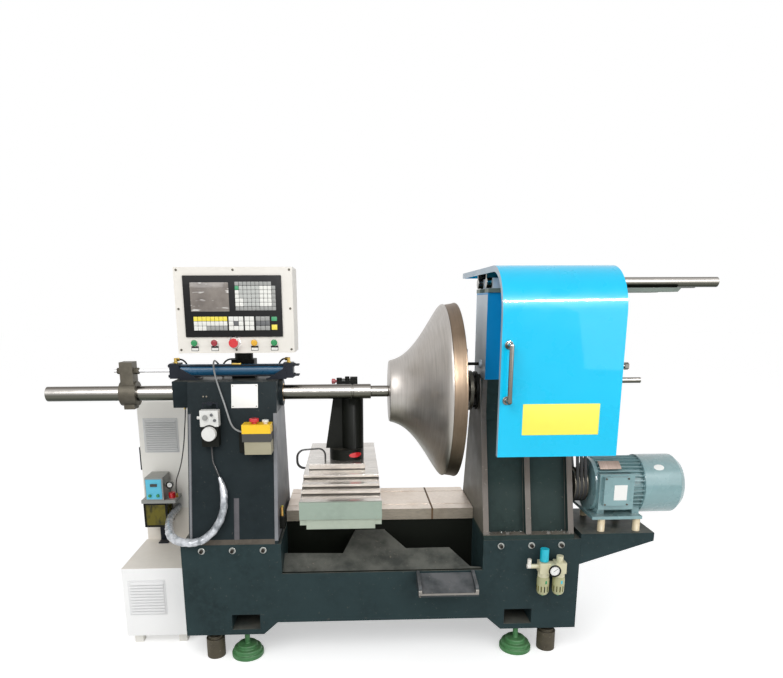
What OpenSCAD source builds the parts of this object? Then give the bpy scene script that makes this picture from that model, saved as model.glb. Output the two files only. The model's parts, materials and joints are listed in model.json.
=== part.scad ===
// Metal spinning lathe, built as an assembly of separate pieces.
// X runs along the spindle, +Y points away from the operator, Z is up and the floor is at Z = 0.

/* [Spindle] */
// Height of the spindle axis above the floor
spindle_z = 1198; // [1150:1:1240]
// Diameter of the spindle shaft
spindle_d = 80; // [70:1:90]
// Outside diameter of the spindle bearings
bearing_d = 150; // [135:1:160]
// Width of one spindle bearing
bearing_w = 45; // [35:1:55]
// Radial running clearance of shafts and bars in their bores
run_gap = 0.05; // [0.03:0.01:0.08]

/* [Mandrel] */
// Radius of the mandrel at its rim
mandrel_rim_r = 400; // [340:1:410]
// Radius of the mandrel's small end
mandrel_nose_r = 141; // [120:1:160]
// Length of the mandrel from its small end to its rim
mandrel_len = 274; // [250:1:280]
// Wall of the mandrel's shell
mandrel_wall = 14; // [10:1:20]
// Width of the mandrel's rim band
rim_w = 26; // [20:1:32]

/* [Quill] */
// Diameter of the quill bar
quill_d = 68; // [60:1:74]
// Length of the quill bar
quill_len = 1476; // [1400:1:1500]
// Length of the pressure pad between the quill and the mandrel
pad_len = 83; // [70:1:95]
// Diameter of the pressure pad
pad_d = 52; // [44:1:58]
// Gap between the pressure pad and the mandrel at rest
pad_gap = 0.5; // [0.3:0.1:1]

/* [Air cylinder] */
// Side of the square cylinder caps
cap_side = 68; // [60:1:74]
// Outside diameter of the cylinder barrel
barrel_d = 56; // [50:1:58]
// Bore of the cylinder
cylinder_bore = 50; // [44:1:52]
// Length of the cylinder barrel
barrel_len = 468; // [440:1:500]
// Length of one cylinder cap along the cylinder
cap_len = 44; // [36:1:50]
// Diameter of the piston rod
piston_rod_d = 16; // [12:1:20]
// Diameter of a tie rod
tie_rod_d = 7; // [5:1:9]

/* [Bed] */
// Length of the bed
bed_len = 1780; // [1740:1:1820]
// Length of each raised end block
block_len = 440; // [430:1:450]
// Front face of the bed
bed_front_y = -280; // [-300:1:-270]
// Rear face of the bed
bed_back_y = 330; // [322:1:350]
// Underside of the end blocks
bed_foot_z = 127; // [110:1:135]
// Underside of the middle of the bed
bed_mid_z = 184; // [160:1:200]
// Top of the front wall between the blocks
bed_wall_z = 421; // [400:1:440]
// Top of the end blocks
block_top_z = 562; // [550:1:575]
// Plate thickness of the bed
bed_plate = 20; // [16:1:24]
// Width of a fork pocket
pocket_w = 126; // [100:1:140]
// Height of a fork pocket
pocket_h = 72; // [60:1:80]

/* [Slideway] */
// Front edge of the slideway
way_y0 = -35; // [-45:1:-25]
// Rear edge of the slideway
way_y1 = 313; // [300:1:315]
// Top of the slideway
way_z = 633; // [620:1:640]
// Thickness of the slideway lip
way_lip = 54; // [44:1:60]
// X of the joint between the two slideway plates
way_joint_x = 250; // [200:1:300]

/* [Saddle] */
// Width of the saddle along the spindle
saddle_w = 350; // [330:1:370]
// Front edge of the saddle
saddle_y0 = -350; // [-370:1:-330]
// Rear edge of the saddle
saddle_y1 = 450; // [420:1:470]
// Top of the front cover of the saddle
saddle_z = 774; // [766:1:782]
// Height of one step of the stepped covers
cover_step = 18; // [14:1:20]
// Thickness of the slide plate that carries the tool post
slide_plate_t = 28; // [24:1:34]

/* [Tool post] */
// Diameter of the tool post's base disc
post_disc_d = 166; // [150:1:168]
// Middle of the tool post across the spindle
post_y = 118; // [112:1:126]
// Depth of the tool head on the post
post_depth = 120; // [100:1:124]
// Diameter of the post's round column
post_column_d = 112; // [100:1:114]
// Width of the post with its web at the foot
post_foot_w = 186; // [170:1:190]
// Width of the post with its web at the top
post_top_w = 146; // [136:1:150]
// Diameter of the tool roller
roller_d = 56; // [50:1:64]
// Width of the tool roller
roller_w = 22; // [18:1:26]

/* [Tailstock] */
// Width of the tailstock column along the spindle
tail_w = 390; // [380:1:400]
// Half depth of the column at its top
column_half = 125; // [120:1:135]
// Half depth of the columns at the bed
column_foot_half = 278; // [260:1:279]
// Top of the tailstock column
tail_top_z = 1262; // [1255:1:1270]
// Plate thickness of the columns
column_plate = 16; // [12:1:20]

/* [Headstock] */
// Width of the headstock
head_w = 408; // [395:1:412]
// Thickness of a headstock rib
rib_t = 25; // [20:1:28]
// Top of the headstock
head_top_z = 1262; // [1255:1:1270]
// Half depth of the headstock at its top
head_half = 85; // [84:1:92]

/* [Drive] */
// Pitch radius of the spindle pulley
big_pulley_r = 120; // [110:1:125]
// Pitch radius of the motor pulley
small_pulley_r = 75; // [65:1:85]
// Number of V-belts
belt_count = 3; // [2:1:3]
// Distance between two belts
belt_pitch = 18; // [16:1:19]
// Y of the motor axis
motor_y = -135; // [-140:1:-125]
// Height of the motor axis above its feet
motor_h = 132; // [130:1:140]
// Diameter of the motor frame over its fins
motor_d = 258; // [240:1:260]
// Diameter of the motor's fan cowl
cowl_d = 268; // [250:1:272]
// Height of the spacers under the motor
spacer_h = 60; // [50:1:66]
// Top of the motor shelf
shelf_z = 585; // [578:1:592]

/* [Guard] */
// Width of the sliding guard along the spindle
guard_w = 487; // [470:1:500]
// Front face of the guard
guard_y0 = -450; // [-465:1:-445]
// Rear edge of the guard's top
guard_y1 = 454; // [440:1:470]
// Top of the guard
guard_top_z = 1745; // [1738:1:1755]
// Lower edge of the guard's front
guard_low_z = 987; // [960:1:1010]
// Radius of the guard's rounded front corner
guard_r = 190; // [150:1:220]
// Depth of the guard's folded edges
guard_edge = 25; // [20:1:28]
// Sheet thickness of the guard
guard_sheet = 3; // [2:1:4]
// Diameter of the guide shafts that carry the guard
guide_d = 44; // [40:1:46]
// Distance of each guide shaft from the spindle plane
guide_y = 90; // [80:1:95]

/* [Controls] */
// Width of the control box
box_w = 506; // [490:1:520]
// Height of the control box
box_h = 365; // [350:1:380]
// Depth of the control box
box_depth = 200; // [180:1:210]
// Underside of the control box
box_z = 1386; // [1380:1:1395]
// Width of the black control face
face_w = 420; // [400:1:430]
// Height of the black control face
face_h = 260; // [240:1:262]
// Distance between two push buttons
button_pitch = 86.5; // [80:0.5:92]
// Diameter of a push button's plunger
button_d = 22; // [18:1:26]
// Width of the post under the control box
stand_w = 106; // [90:1:110]
// Depth of the post under the control box
stand_depth = 84; // [70:1:86]

/* [Cabinet] */
// Width of the electrical cabinet
cabinet_w = 290; // [280:1:300]
// Front of the low box
cabinet_front_y = -125; // [-135:1:-115]
// Front of the tall cabinet
cabinet_mid_y = 252; // [246:1:258]
// Rear of the tall cabinet
cabinet_back_y = 560; // [540:1:580]
// Top of the low box
cabinet_low_z = 390; // [380:1:405]
// Top of the tall cabinet
cabinet_top_z = 1120; // [1100:1:1135]
// Ground clearance of the cabinet
cabinet_leg = 46; // [40:1:52]
// Sheet thickness of boxes and cabinets
sheet = 2; // [1.5:0.5:3]

/* [Hidden] */
$fn = 64;
eps = 0.01;
// Gap left between two bodies that slide face to face
slide_gap = 0.3;

// Places along the spindle follow the bed's two end blocks
bed_end = bed_len / 2;
block_x = bed_end - block_len;
pocket_x = bed_end - 270;
tail_x1 = -block_x - 11;
tail_x0 = tail_x1 - tail_w;
head_x0 = block_x;
mandrel_x = head_x0 - 408;
saddle_x = mandrel_x - 225;
post_x = mandrel_x - 200;
guard_x = head_x0 + 5;
guide_end_x = guard_x + 1034;
guide_z = guard_top_z - 63;
box_x = tail_x0 + 219;
cabinet_x0 = tail_x0 - 360;

quill_end_x = mandrel_x - pad_gap - pad_len;
quill_start_x = quill_end_x - quill_len;
rod_z = tail_top_z + 5 + cap_side / 2;
barrel_x0 = tail_x0 - 56;
barrel_x1 = barrel_x0 + barrel_len;
yoke_x = barrel_x0 - 238;
yoke_w = 74;
piston_x = barrel_x0 + 347;
head_x1 = head_x0 + head_w;
head_zone_z = 1080;
pulley_x = head_x1 + 15;
pulley_w = 60;
motor_x = bed_end + 60;
motor_foot_z = shelf_z + spacer_h;
motor_z = motor_foot_z + motor_h;
shelf_x1 = bed_end + 332;
saddle_x0 = saddle_x - saddle_w / 2;
saddle_x1 = saddle_x + saddle_w / 2;
saddle_base_z = way_z + slide_gap;
slide_base_z = saddle_z + 2 * cover_step + slide_gap;
slide_cover_z = saddle_z + 3 * cover_step + slide_gap;
slide_top_z = slide_cover_z + slide_plate_t;
post_top_z = spindle_z - 36;
tool_x1 = post_x + post_disc_d / 2 + 2;
beam_z = guide_z - guide_d / 2 - 2;
house_x0 = head_x0 + 15;
house_x1 = head_x1;
house_half = 121;
house_top_z = beam_z - 18;
guard_x1 = guard_x + guard_w;
box_y0 = -100;
box_y1 = box_y0 + box_depth;
stand_y = 78;
face_z = box_z + box_h - 35 - face_h / 2;
button_z = box_z + 45;
station_x = tail_x1 - 77;
station_z = 965;
pendant_x = tail_x0 + 109;
pendant_z = 1060;

// Extents that set the origin of the part
extent_x = [quill_start_x, guide_end_x];
handle_out = 58;
extent_y = [guard_y0 - handle_out, cabinet_back_y];
mid_x = (extent_x[0] + extent_x[1]) / 2;
mid_y = (extent_y[0] + extent_y[1]) / 2;

// Moves the machine so that the origin lies under the middle of its extents
module placed() translate([-mid_x, -mid_y, 0]) children();

// Box between two corners
module block(lo, hi) translate(lo) cube(hi - lo);

// Round bars along X, Y and Z
module bar_x(d, x0, x1, y, z) translate([x0, y, z]) rotate([0, 90, 0]) cylinder(d = d, h = x1 - x0);
module bar_y(d, y0, y1, x, z) translate([x, y0, z]) rotate([-90, 0, 0]) cylinder(d = d, h = y1 - y0);
module bar_z(d, z0, z1, x, y) translate([x, y, z0]) cylinder(d = d, h = z1 - z0);

// Plate with an outline in X and Z, from y0 to y1
module plate_y(points, y0, y1)
    translate([0, y1, 0]) rotate([90, 0, 0]) linear_extrude(y1 - y0) polygon(points);

// Plate with an outline in Y and Z, from x0 to x1
module plate_x(points, x0, x1)
    translate([x0, 0, 0]) rotate([90, 0, 90]) linear_extrude(x1 - x0) polygon(points);

// Places children at both signs of a distance
module both_x(d) for (s = [-1, 1]) translate([s * d, 0, 0]) children();

// Half depth of a column face at a height, between its foot and its top
function face_half(z, top_z, top_half) =
    top_half + (column_foot_half - top_half) * (top_z - z) / (top_z - block_top_z);
function tail_front(z) = -face_half(z, tail_top_z, column_half);

// Bed weldment with end blocks, fork pockets and an open well
module bed_outline_front() {
    e = bed_end;
    polygon([
        [-e, bed_foot_z], [-e + 349, bed_foot_z], [-e + 412, bed_mid_z], [e - 412, bed_mid_z],
        [e - 349, bed_foot_z], [e, bed_foot_z], [e, block_top_z], [block_x, block_top_z],
        [block_x, bed_wall_z], [-block_x, bed_wall_z], [-block_x, block_top_z], [-e, block_top_z]
    ]);
}

module bed() color("darkslategray") {
    e = bed_end;
    well_z = bed_mid_z + bed_plate;
    difference() {
        translate([0, bed_back_y, 0]) rotate([90, 0, 0])
            linear_extrude(bed_back_y - bed_front_y) bed_outline_front();
        block([-block_x, bed_front_y + bed_plate, well_z], [block_x, bed_back_y - bed_plate, block_top_z]);
        for (s = [-1, 1]) {
            cavity_x0 = s > 0 ? block_x + bed_plate : -e + bed_plate;
            block([cavity_x0, bed_front_y + bed_plate, well_z + 40],
                [cavity_x0 + block_len - 2 * bed_plate, bed_back_y - bed_plate, block_top_z - bed_plate]);
            block([s * pocket_x - pocket_w / 2, bed_front_y - 1, bed_foot_z + 26],
                [s * pocket_x + pocket_w / 2, bed_back_y + 1, bed_foot_z + 26 + pocket_h]);
        }
    }
    way_base();
}

// Box beam in the well that carries the slideway
module way_base() {
    well_z = bed_mid_z + bed_plate;
    difference() {
        block([-block_x, way_y0 + 10, well_z - 1], [block_x, way_y1 - 10, way_z - way_lip]);
        pitch = (2 * block_x - bed_plate) / 5;
        cell = pitch / 2 - bed_plate;
        for (i = [-2:2])
            block([i * pitch - cell, way_y0 + 26, well_z + 20],
                [i * pitch + cell, way_y1 - 26, way_z - way_lip - 20]);
    }
}

// Sloping chip pan in the front half of the well
pan_y1 = way_y0 + 10;
pan_z0 = bed_wall_z - 12;
pan_z1 = 528;
module chip_pan() color("dimgray") difference() {
    plate_x([
        [bed_front_y + bed_plate, pan_z0 - 4], [pan_y1, pan_z1 - 4],
        [pan_y1, pan_z1], [bed_front_y + bed_plate, pan_z0]
    ], -block_x, block_x);
    // Two openings that run back to the slideway, for the chips to fall through
    edge = block_x + 1;
    translate([0, 0, pan_z0 - 60]) linear_extrude(pan_z1 - pan_z0 + 120) {
        polygon([[-edge, -149], [-180, -155], [-122, -28], [-122, pan_y1 + 1], [-edge, pan_y1 + 1]]);
        polygon([
            [23, pan_y1 + 1], [23, -31], [116, -134], [320, -133], [block_x - 49, -235],
            [edge, -240], [edge, pan_y1 + 1]
        ]);
    }
}

// Small tray on the front of the bed
tray_x0 = block_x - 300;
tray_w = 262;
module front_tray() color("dimgray") {
    tray_back = bed_front_y;
    tray_front = bed_front_y - 118;
    top_z = 446;
    for (x = [tray_x0, tray_x0 + tray_w - 14]) {
        difference() {
            union() {
                plate_x([
                    [tray_back, 352], [tray_back, top_z - 22], [tray_front + 24, top_z - 48],
                    [tray_front, top_z - 68], [tray_front, 352]
                ], x, x + 14);
                bar_x(44, x, x + 14, tray_front + 24, top_z - 70);
            }
            bar_x(10, x - 1, x + 15, tray_front + 24, top_z - 70);
        }
    }
    plate_x([
        [tray_back, top_z - 34], [tray_front + 6, top_z - 86], [tray_front + 6, top_z - 92],
        [tray_back, top_z - 40]
    ], tray_x0 + 14, tray_x0 + tray_w - 14);
    block([tray_x0 + 14, tray_front, 352], [tray_x0 + tray_w - 14, tray_front + 6, top_z - 78]);
}

// Steel levelling jacks under the bed's corners
jack_x = bed_end - 116;
foot_front_y = -228;
foot_back_y = 278;
module levelling_jacks() color("saddlebrown")
    for (y = [foot_front_y, foot_back_y]) both_x(jack_x) {
        bar_z(84, 0, 92, 0, y);
        bar_z(64, 92, 104, 0, y);
        bar_z(30, 104, bed_foot_z, 0, y);
    }

// Green anti-vibration pads
pad_x = bed_end - 262;
module rubber_pads() color("seagreen")
    for (y = [foot_front_y, foot_back_y]) both_x(pad_x) {
        bar_z(146, 0, 22, 0, y);
        bar_z(128, 22, 40, 0, y);
        bar_z(90, 40, 58, 0, y);
        bar_z(24, 58, bed_foot_z, 0, y);
    }

// Ground slideway, made of two plates joined end to end
way_end = block_x - 2;
bracket_w = 24;
module slideway() color("lightgray") {
    difference() {
        union() {
            block([-way_end, way_y0, way_z - way_lip], [way_joint_x - 0.5, way_y1, way_z]);
            block([way_joint_x + 0.5, way_y0, way_z - way_lip], [way_end, way_y1, way_z]);
        }
        for (y = [way_y0 + 70, way_y1 - 70])
            block([-way_end - 1, y - 4, way_z - 5], [way_end + 1, y + 4, way_z + 1]);
    }
    // Bearing brackets at both ends of the feed screw
    for (x = [-way_end, way_end - bracket_w]) difference() {
        block([x, way_y1 - 1, long_screw_z - 20], [x + bracket_w, screw_y + 20, long_screw_z + 20]);
        bar_x(screw_d, x - 1, x + bracket_w + 1, screw_y, long_screw_z);
    }
}

// Tailstock column: a box with sloping front and back
module tail_outline(inset) {
    polygon([
        [-column_foot_half + inset, block_top_z], [column_foot_half - inset, block_top_z],
        [column_half - inset, tail_top_z - inset], [-column_half + inset, tail_top_z - inset]
    ]);
}

strip_z0 = block_top_z + 18;
module tailstock_column() color("darkslategray") {
    head_z = spindle_z - 74;
    difference() {
        translate([tail_x0, 0, 0]) rotate([90, 0, 90]) linear_extrude(tail_x1 - tail_x0) tail_outline(0);
        difference() {
            translate([tail_x0 + column_plate, 0, 0]) rotate([90, 0, 90])
                linear_extrude(tail_x1 - tail_x0 - 2 * column_plate) tail_outline(column_plate);
            block([tail_x0 - 1, -400, head_z - column_plate], [tail_x1 + 1, 400, tail_top_z]);
        }
        block([tail_x0 - 1, -head_block_half, head_z], [tail_x1 + 1, head_block_half, tail_top_z + 1]);
    }
    // Gusset and two machined strips on the front of the column
    gusset_z = block_top_z + 198;
    plate_x([
        [tail_front(gusset_z) - 1, gusset_z], [-column_foot_half - 1, block_top_z + 4],
        [-column_foot_half + 60, block_top_z], [tail_front(gusset_z) + 40, gusset_z]
    ], tail_x0 + 199, tail_x0 + 218);
    for (x = [tail_x0 + 5, tail_x1 - 15])
        plate_x([
            [tail_front(strip_z0) - 4, strip_z0], [tail_front(head_z) - 4, head_z],
            [tail_front(head_z) + 2, head_z], [tail_front(strip_z0) + 2, strip_z0]
        ], x, x + (x < tail_x0 + 6 ? 9 : 15));
}

// Quill head: bored block in the top of the column, with a left block and a right gland ring
head_block_half = 88;
left_block_x = tail_x0 - 76;
gland_x = tail_x1 + 17;
gland_d = 124;
module tailstock_head() color("darkslategray") {
    z0 = spindle_z - 74;
    difference() {
        union() {
            block([tail_x0, -head_block_half, z0], [tail_x1, head_block_half, tail_top_z]);
            block([left_block_x, -96, spindle_z - 54], [tail_x0, 96, tail_top_z]);
            bar_x(gland_d, tail_x1, gland_x, 0, spindle_z);
        }
        bar_x(quill_d + 16, left_block_x - 1, gland_x + 1, 0, spindle_z);
    }
}

// Bronze bushes that carry the quill at both ends of the head
bush_len = 150;
module quill_bushes() color("peru")
    for (x = [left_block_x, gland_x - bush_len]) difference() {
        bar_x(quill_d + 16, x, x + bush_len, 0, spindle_z);
        bar_x(quill_d + 2 * run_gap, x - 1, x + bush_len + 1, 0, spindle_z);
    }

// Air cylinder on top of the column
module cylinder_barrel() color("royalblue") difference() {
    bar_x(barrel_d, barrel_x0, barrel_x1, 0, rod_z);
    bar_x(cylinder_bore, barrel_x0 - 1, barrel_x1 + 1, 0, rod_z);
}

module cylinder_caps() color("black") {
    tie = cap_side / 2 - 11;
    foot_z = tail_top_z;
    difference() {
        union() {
            block([barrel_x0 - cap_len, -cap_side / 2, rod_z - cap_side / 2],
                [barrel_x0, cap_side / 2, rod_z + cap_side / 2]);
            block([barrel_x1, -cap_side / 2, rod_z - cap_side / 2],
                [barrel_x1 + cap_len, cap_side / 2, rod_z + cap_side / 2]);
        }
        bar_x(piston_rod_d + 2 * run_gap, barrel_x0 - cap_len - 1, barrel_x0 + 1, 0, rod_z);
    }
    for (y = [-tie, tie]) for (z = [rod_z - tie, rod_z + tie]) {
        bar_x(tie_rod_d, barrel_x0, barrel_x1, y, z);
        bar_x(tie_rod_d, barrel_x1 + cap_len, barrel_x1 + cap_len + 26, y, z);
        bar_x(tie_rod_d * 2, barrel_x1 + cap_len, barrel_x1 + cap_len + 7, y, z);
        bar_x(tie_rod_d * 2, barrel_x0 - cap_len - 7, barrel_x0 - cap_len, y, z);
    }
    // Feet with triangular gussets
    for (s = [-1, 1]) {
        x = s < 0 ? barrel_x0 + 56 : barrel_x1 - 22;
        for (y = [-cap_side / 2 - 4, cap_side / 2]) {
            plate_y([
                [x - 56 * s * s, foot_z], [x + 34, foot_z], [x + (s < 0 ? -56 : 34), rod_z + 16]
            ], y, y + 4);
        }
        block([x - 56, -cap_side / 2 - 4, foot_z], [x + 34, cap_side / 2 + 4, foot_z + 5]);
    }
}

// Quill bar with a groove near its nose
module quill() color("silver") difference() {
    bar_x(quill_d, quill_start_x, quill_end_x, 0, spindle_z);
    difference() {
        bar_x(quill_d + 4, quill_end_x - 90, quill_end_x - 80, 0, spindle_z);
        bar_x(quill_d - 6, quill_end_x - 91, quill_end_x - 79, 0, spindle_z);
    }
    bar_x(30, quill_end_x - 70, quill_end_x + 1, 0, spindle_z);
}

// Yoke that ties the piston rod to the quill, with its two nuts
module quill_yoke() color("gray") {
    half = yoke_w / 2;
    difference() {
        union() {
            bar_x(quill_d + 44, yoke_x - half, yoke_x + half, 0, spindle_z);
            block([yoke_x - 29, -34, spindle_z + quill_d / 2], [yoke_x + 29, 34, rod_z + 42]);
            block([yoke_x - 24, -30, spindle_z - quill_d / 2 - 36], [yoke_x + 24, 30, spindle_z - quill_d / 2]);
        }
        bar_x(quill_d, yoke_x - half - 1, yoke_x + half + 1, 0, spindle_z);
        bar_x(piston_rod_d, yoke_x - half - 1, yoke_x + half + 1, 0, rod_z);
        block([yoke_x - half - 1, -2, spindle_z - 100], [yoke_x + half + 1, 2, spindle_z - quill_d / 2 + 2]);
    }
    for (x = [yoke_x - 29 - 20, yoke_x + 29]) difference() {
        translate([x, 0, rod_z]) rotate([0, 90, 0]) cylinder(d = 30, h = 20, $fn = 6);
        bar_x(piston_rod_d, x - 1, x + 21, 0, rod_z);
    }
}

// Piston and its rod
module piston_rod() color("lightgray") {
    bar_x(piston_rod_d, yoke_x - 29 - 34, piston_x, 0, rod_z);
    bar_x(cylinder_bore - 2 * run_gap, piston_x, piston_x + 26, 0, rod_z);
}

// Live pressure pad on the quill's nose, turning on its stub
module pressure_pad() color("gainsboro") {
    bar_x(pad_d, quill_end_x + slide_gap, mandrel_x - pad_gap, 0, spindle_z);
    bar_x(30 - 2 * run_gap, quill_end_x - 60, quill_end_x + slide_gap, 0, spindle_z);
}

// Headstock column: three ribs, a recessed box between them and the spindle block
module rib_outline() {
    polygon([
        [-column_foot_half, block_top_z], [column_foot_half, block_top_z],
        [head_half, head_top_z], [-head_half, head_top_z]
    ]);
}

// Bracket behind the pulley with the two studs for the belt cover
stud_y = 150;
stud_z = [1220, 1290];
stud_x1 = [head_x1 + 439, head_x1 + 373];
module cover_studs() {
    block([head_x1 - 30, house_half, stud_z[0] - 30], [head_x1, stud_y + 24, stud_z[1] + 24]);
    bar_x(28, head_x1 - 1, stud_x1[0], stud_y, stud_z[0]);
    bar_x(22, head_x1 - 1, stud_x1[1] - 20, stud_y, stud_z[1]);
    translate([stud_x1[1] - 20, stud_y, stud_z[1]]) rotate([0, 90, 0]) cylinder(d = 36, h = 20, $fn = 6);
}

module headstock_column() color("darkslategray") difference() {
    union() {
        for (i = [0:2]) {
            x = head_x0 + i * (head_w - rib_t) / 2;
            translate([x, 0, 0]) rotate([90, 0, 90]) linear_extrude(rib_t) rib_outline();
        }
        // Recessed front and back walls between the ribs
        for (s = [-1, 1])
            plate_x([
                [s * (column_foot_half - 40), block_top_z], [s * (head_half - 12), head_top_z - 5],
                [s * (head_half - 12 - column_plate), head_top_z - 5],
                [s * (column_foot_half - 40 - column_plate), block_top_z]
            ], head_x0 + 5, head_x1 - 5);
        block([head_x0, -column_foot_half, block_top_z], [head_x1, column_foot_half, block_top_z + 22]);
        block([head_x0 + 5, -house_half, head_zone_z], [head_x1, house_half, head_top_z]);
        cover_studs();
    }
    bar_x(bearing_d, head_x0 - 1, head_x1 + 1, 0, spindle_z);
}

// Spindle bearings and the caps that hold them
bearing_x0 = head_x0 + 16;
bearing_x1 = head_x1 - 16 - bearing_w;
cap_front_d = 178;
module spindle_bearings() color("slategray") difference() {
    union() {
        for (x = [bearing_x0, bearing_x1]) bar_x(bearing_d, x, x + bearing_w, 0, spindle_z);
        bar_x(bearing_d, head_x0, bearing_x0, 0, spindle_z);
        bar_x(bearing_d, bearing_x1 + bearing_w, head_x1, 0, spindle_z);
        bar_x(cap_front_d, head_x0 - 12, head_x0, 0, spindle_z);
        bar_x(cap_front_d, head_x1, head_x1 + 8, 0, spindle_z);
        for (a = [0:60:300]) {
            translate([head_x0 - 18, 0, spindle_z]) rotate([a, 0, 0]) translate([0, 80, 0])
                rotate([0, 90, 0]) cylinder(d = 12, h = 6, $fn = 6);
        }
    }
    bar_x(spindle_d + 2 * run_gap, head_x0 - 30, head_x1 + 30, 0, spindle_z);
}

// Hollow spindle with its nose hub and flange
nose_x = head_x0 - 18 - 22;
spindle_end_x = pulley_x + pulley_w + 70;
module spindle() color("silver") difference() {
    union() {
        bar_x(spindle_d, nose_x, pulley_x + pulley_w + 6, 0, spindle_z);
        bar_x(52, pulley_x + pulley_w, spindle_end_x, 0, spindle_z);
        bar_x(184, nose_x, nose_x + 16, 0, spindle_z);
        bar_x(100, mandrel_x + mandrel_len - 20, nose_x, 0, spindle_z);
        bar_x(112, nose_x - 26, nose_x - 14, 0, spindle_z);
    }
    bar_x(14, mandrel_x + mandrel_len - 30, spindle_end_x + 1, 0, spindle_z);
    for (a = [0:60:300])
        translate([nose_x - 1, 0, spindle_z]) rotate([a, 0, 0]) translate([0, 74, 0])
            rotate([0, 90, 0]) cylinder(d = 11, h = 18);
}

// Bell shape of the mandrel: radius along its length from the small end
function smooth(u) = u * u * (3 - 2 * u);
function bell_r(t) =
    mandrel_nose_r + (mandrel_rim_r - mandrel_nose_r) * (0.25 * t + 0.75 * smooth(pow(t, 1.35)));
bell_steps = 16;
module bell_profile(inset) {
    l = mandrel_len - 6;
    polygon(concat(
        [[0, 0], [bell_r(0) - inset, 0]],
        [for (i = [1:bell_steps]) [bell_r(i / bell_steps) - inset, l * i / bell_steps]],
        [[0, l]]
    ));
}

module mandrel() color("dimgray")
    translate([mandrel_x, 0, spindle_z]) rotate([0, 90, 0]) difference() {
        union() {
            rotate_extrude($fn = 96) bell_profile(0);
            translate([0, 0, mandrel_len - 7]) cylinder(r = mandrel_rim_r, h = rim_w / 2 - 2 + 7, $fn = 96);
            translate([0, 0, mandrel_len + rim_w / 2 - 3]) cylinder(r = mandrel_rim_r - 5, h = 6, $fn = 96);
            translate([0, 0, mandrel_len + rim_w / 2 + 2]) cylinder(r = mandrel_rim_r, h = rim_w / 2 - 2, $fn = 96);
        }
        difference() {
            translate([0, 0, 30]) rotate_extrude($fn = 96) bell_profile(mandrel_wall + 18);
            cylinder(d = 170, h = mandrel_len + rim_w);
        }
        difference() {
            translate([0, 0, mandrel_len - 12])
                cylinder(r = mandrel_rim_r - 44, h = rim_w + 20, $fn = 96);
            cylinder(d = 170, h = mandrel_len + rim_w);
        }
        translate([0, 0, mandrel_len - 20]) cylinder(d = 100, h = 100);
        translate([0, 0, mandrel_len - 20 + 34]) cylinder(d = 174, h = 100);
        translate([0, 0, -1]) cylinder(d = 22, h = 400);
    }

// Grooved pulley along X, with its bore
module pulley(r, x, y, z, bore) difference() {
    bar_x(2 * r + 8, x, x + pulley_w, y, z);
    for (i = [0:belt_count - 1]) {
        gx = x + pulley_w / 2 + (i - (belt_count - 1) / 2) * belt_pitch;
        translate([gx - 7, y, z]) rotate([0, 90, 0]) difference() {
            cylinder(r = r + 5, h = 14);
            translate([0, 0, -1]) cylinder(r = r - 6, h = 16);
        }
    }
    bar_x(bore, x - 1, x + pulley_w + 1, y, z);
}

module spindle_pulley() color("dimgray") pulley(big_pulley_r, pulley_x, 0, spindle_z, spindle_d);

// Belt loop as a 2D outline around both pulleys
module belt_outline(r1, r2) {
    dy = motor_y;
    dz = motor_z - spindle_z;
    d = sqrt(dy * dy + dz * dz);
    side = acos((r1 - r2) / d);
    dir = atan2(dz, dy);
    circle(r = r1);
    translate([dy, dz]) circle(r = r2);
    polygon([
        r1 * [cos(dir + side), sin(dir + side)], [dy, dz] + r2 * [cos(dir + side), sin(dir + side)],
        [dy, dz] + r2 * [cos(dir - side), sin(dir - side)], r1 * [cos(dir - side), sin(dir - side)]
    ]);
}

module drive_belts() color("black")
    for (i = [0:belt_count - 1]) {
        gx = pulley_x + pulley_w / 2 + (i - (belt_count - 1) / 2) * belt_pitch;
        translate([gx - 6, 0, spindle_z]) rotate([90, 0, 90]) linear_extrude(12) difference() {
            belt_outline(big_pulley_r + 3, small_pulley_r + 3);
            belt_outline(big_pulley_r - 5.5, small_pulley_r - 5.5);
        }
    }

// Lock lever that drops over the spindle's nose hub
lever_y = -26;
lever_z = spindle_z + 126;
lever_pin_d = 14;
module lock_lever() color("black") {
    x0 = nose_x - 14 - 18;
    plate_y([
        [x0 + 2, lever_z - 62], [x0 + 16, lever_z - 62], [x0 + 18, lever_z - 12], [x0 + 22, lever_z + 66],
        [x0 + 14, lever_z + 72], [x0 + 2, lever_z + 22], [x0 - 8, lever_z + 8], [x0 + 2, lever_z - 6]
    ], lever_y - 12, lever_y + 12);
    bar_x(lever_pin_d, x0 + 10, house_x0 + 9, lever_y, lever_z);
}

// Blue housing above the headstock, open below
module upper_housing() color("steelblue") difference() {
    block([house_x0, -house_half, head_top_z], [house_x1, house_half, house_top_z]);
    block([house_x0 + 12, -house_half + 3, head_top_z - 1], [house_x1 - 3, house_half - 3, house_top_z - 8]);
    block([house_x0 - 1, -house_half + 3, head_top_z - 1], [house_x0 + 13, house_half - 3, house_top_z - 8]);
    bar_x(bearing_d + 2, house_x0 - 1, house_x1 + 1, 0, spindle_z);
}

// Light end plate that closes the housing on the mandrel's side
module housing_end_plate() color("lightgray") difference() {
    union() {
        block([house_x0, -house_half + 3.2, head_top_z], [house_x0 + 10, house_half - 3.2, house_top_z - 8.2]);
        bar_x(lever_pin_d + 22, house_x0 - 12, house_x0, lever_y, lever_z);
    }
    bar_x(lever_pin_d + 2 * run_gap, house_x0 - 13, house_x0 + 11, lever_y, lever_z);
    bar_x(bearing_d + 2, house_x0 - 1, house_x0 + 11, 0, spindle_z);
}

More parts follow.
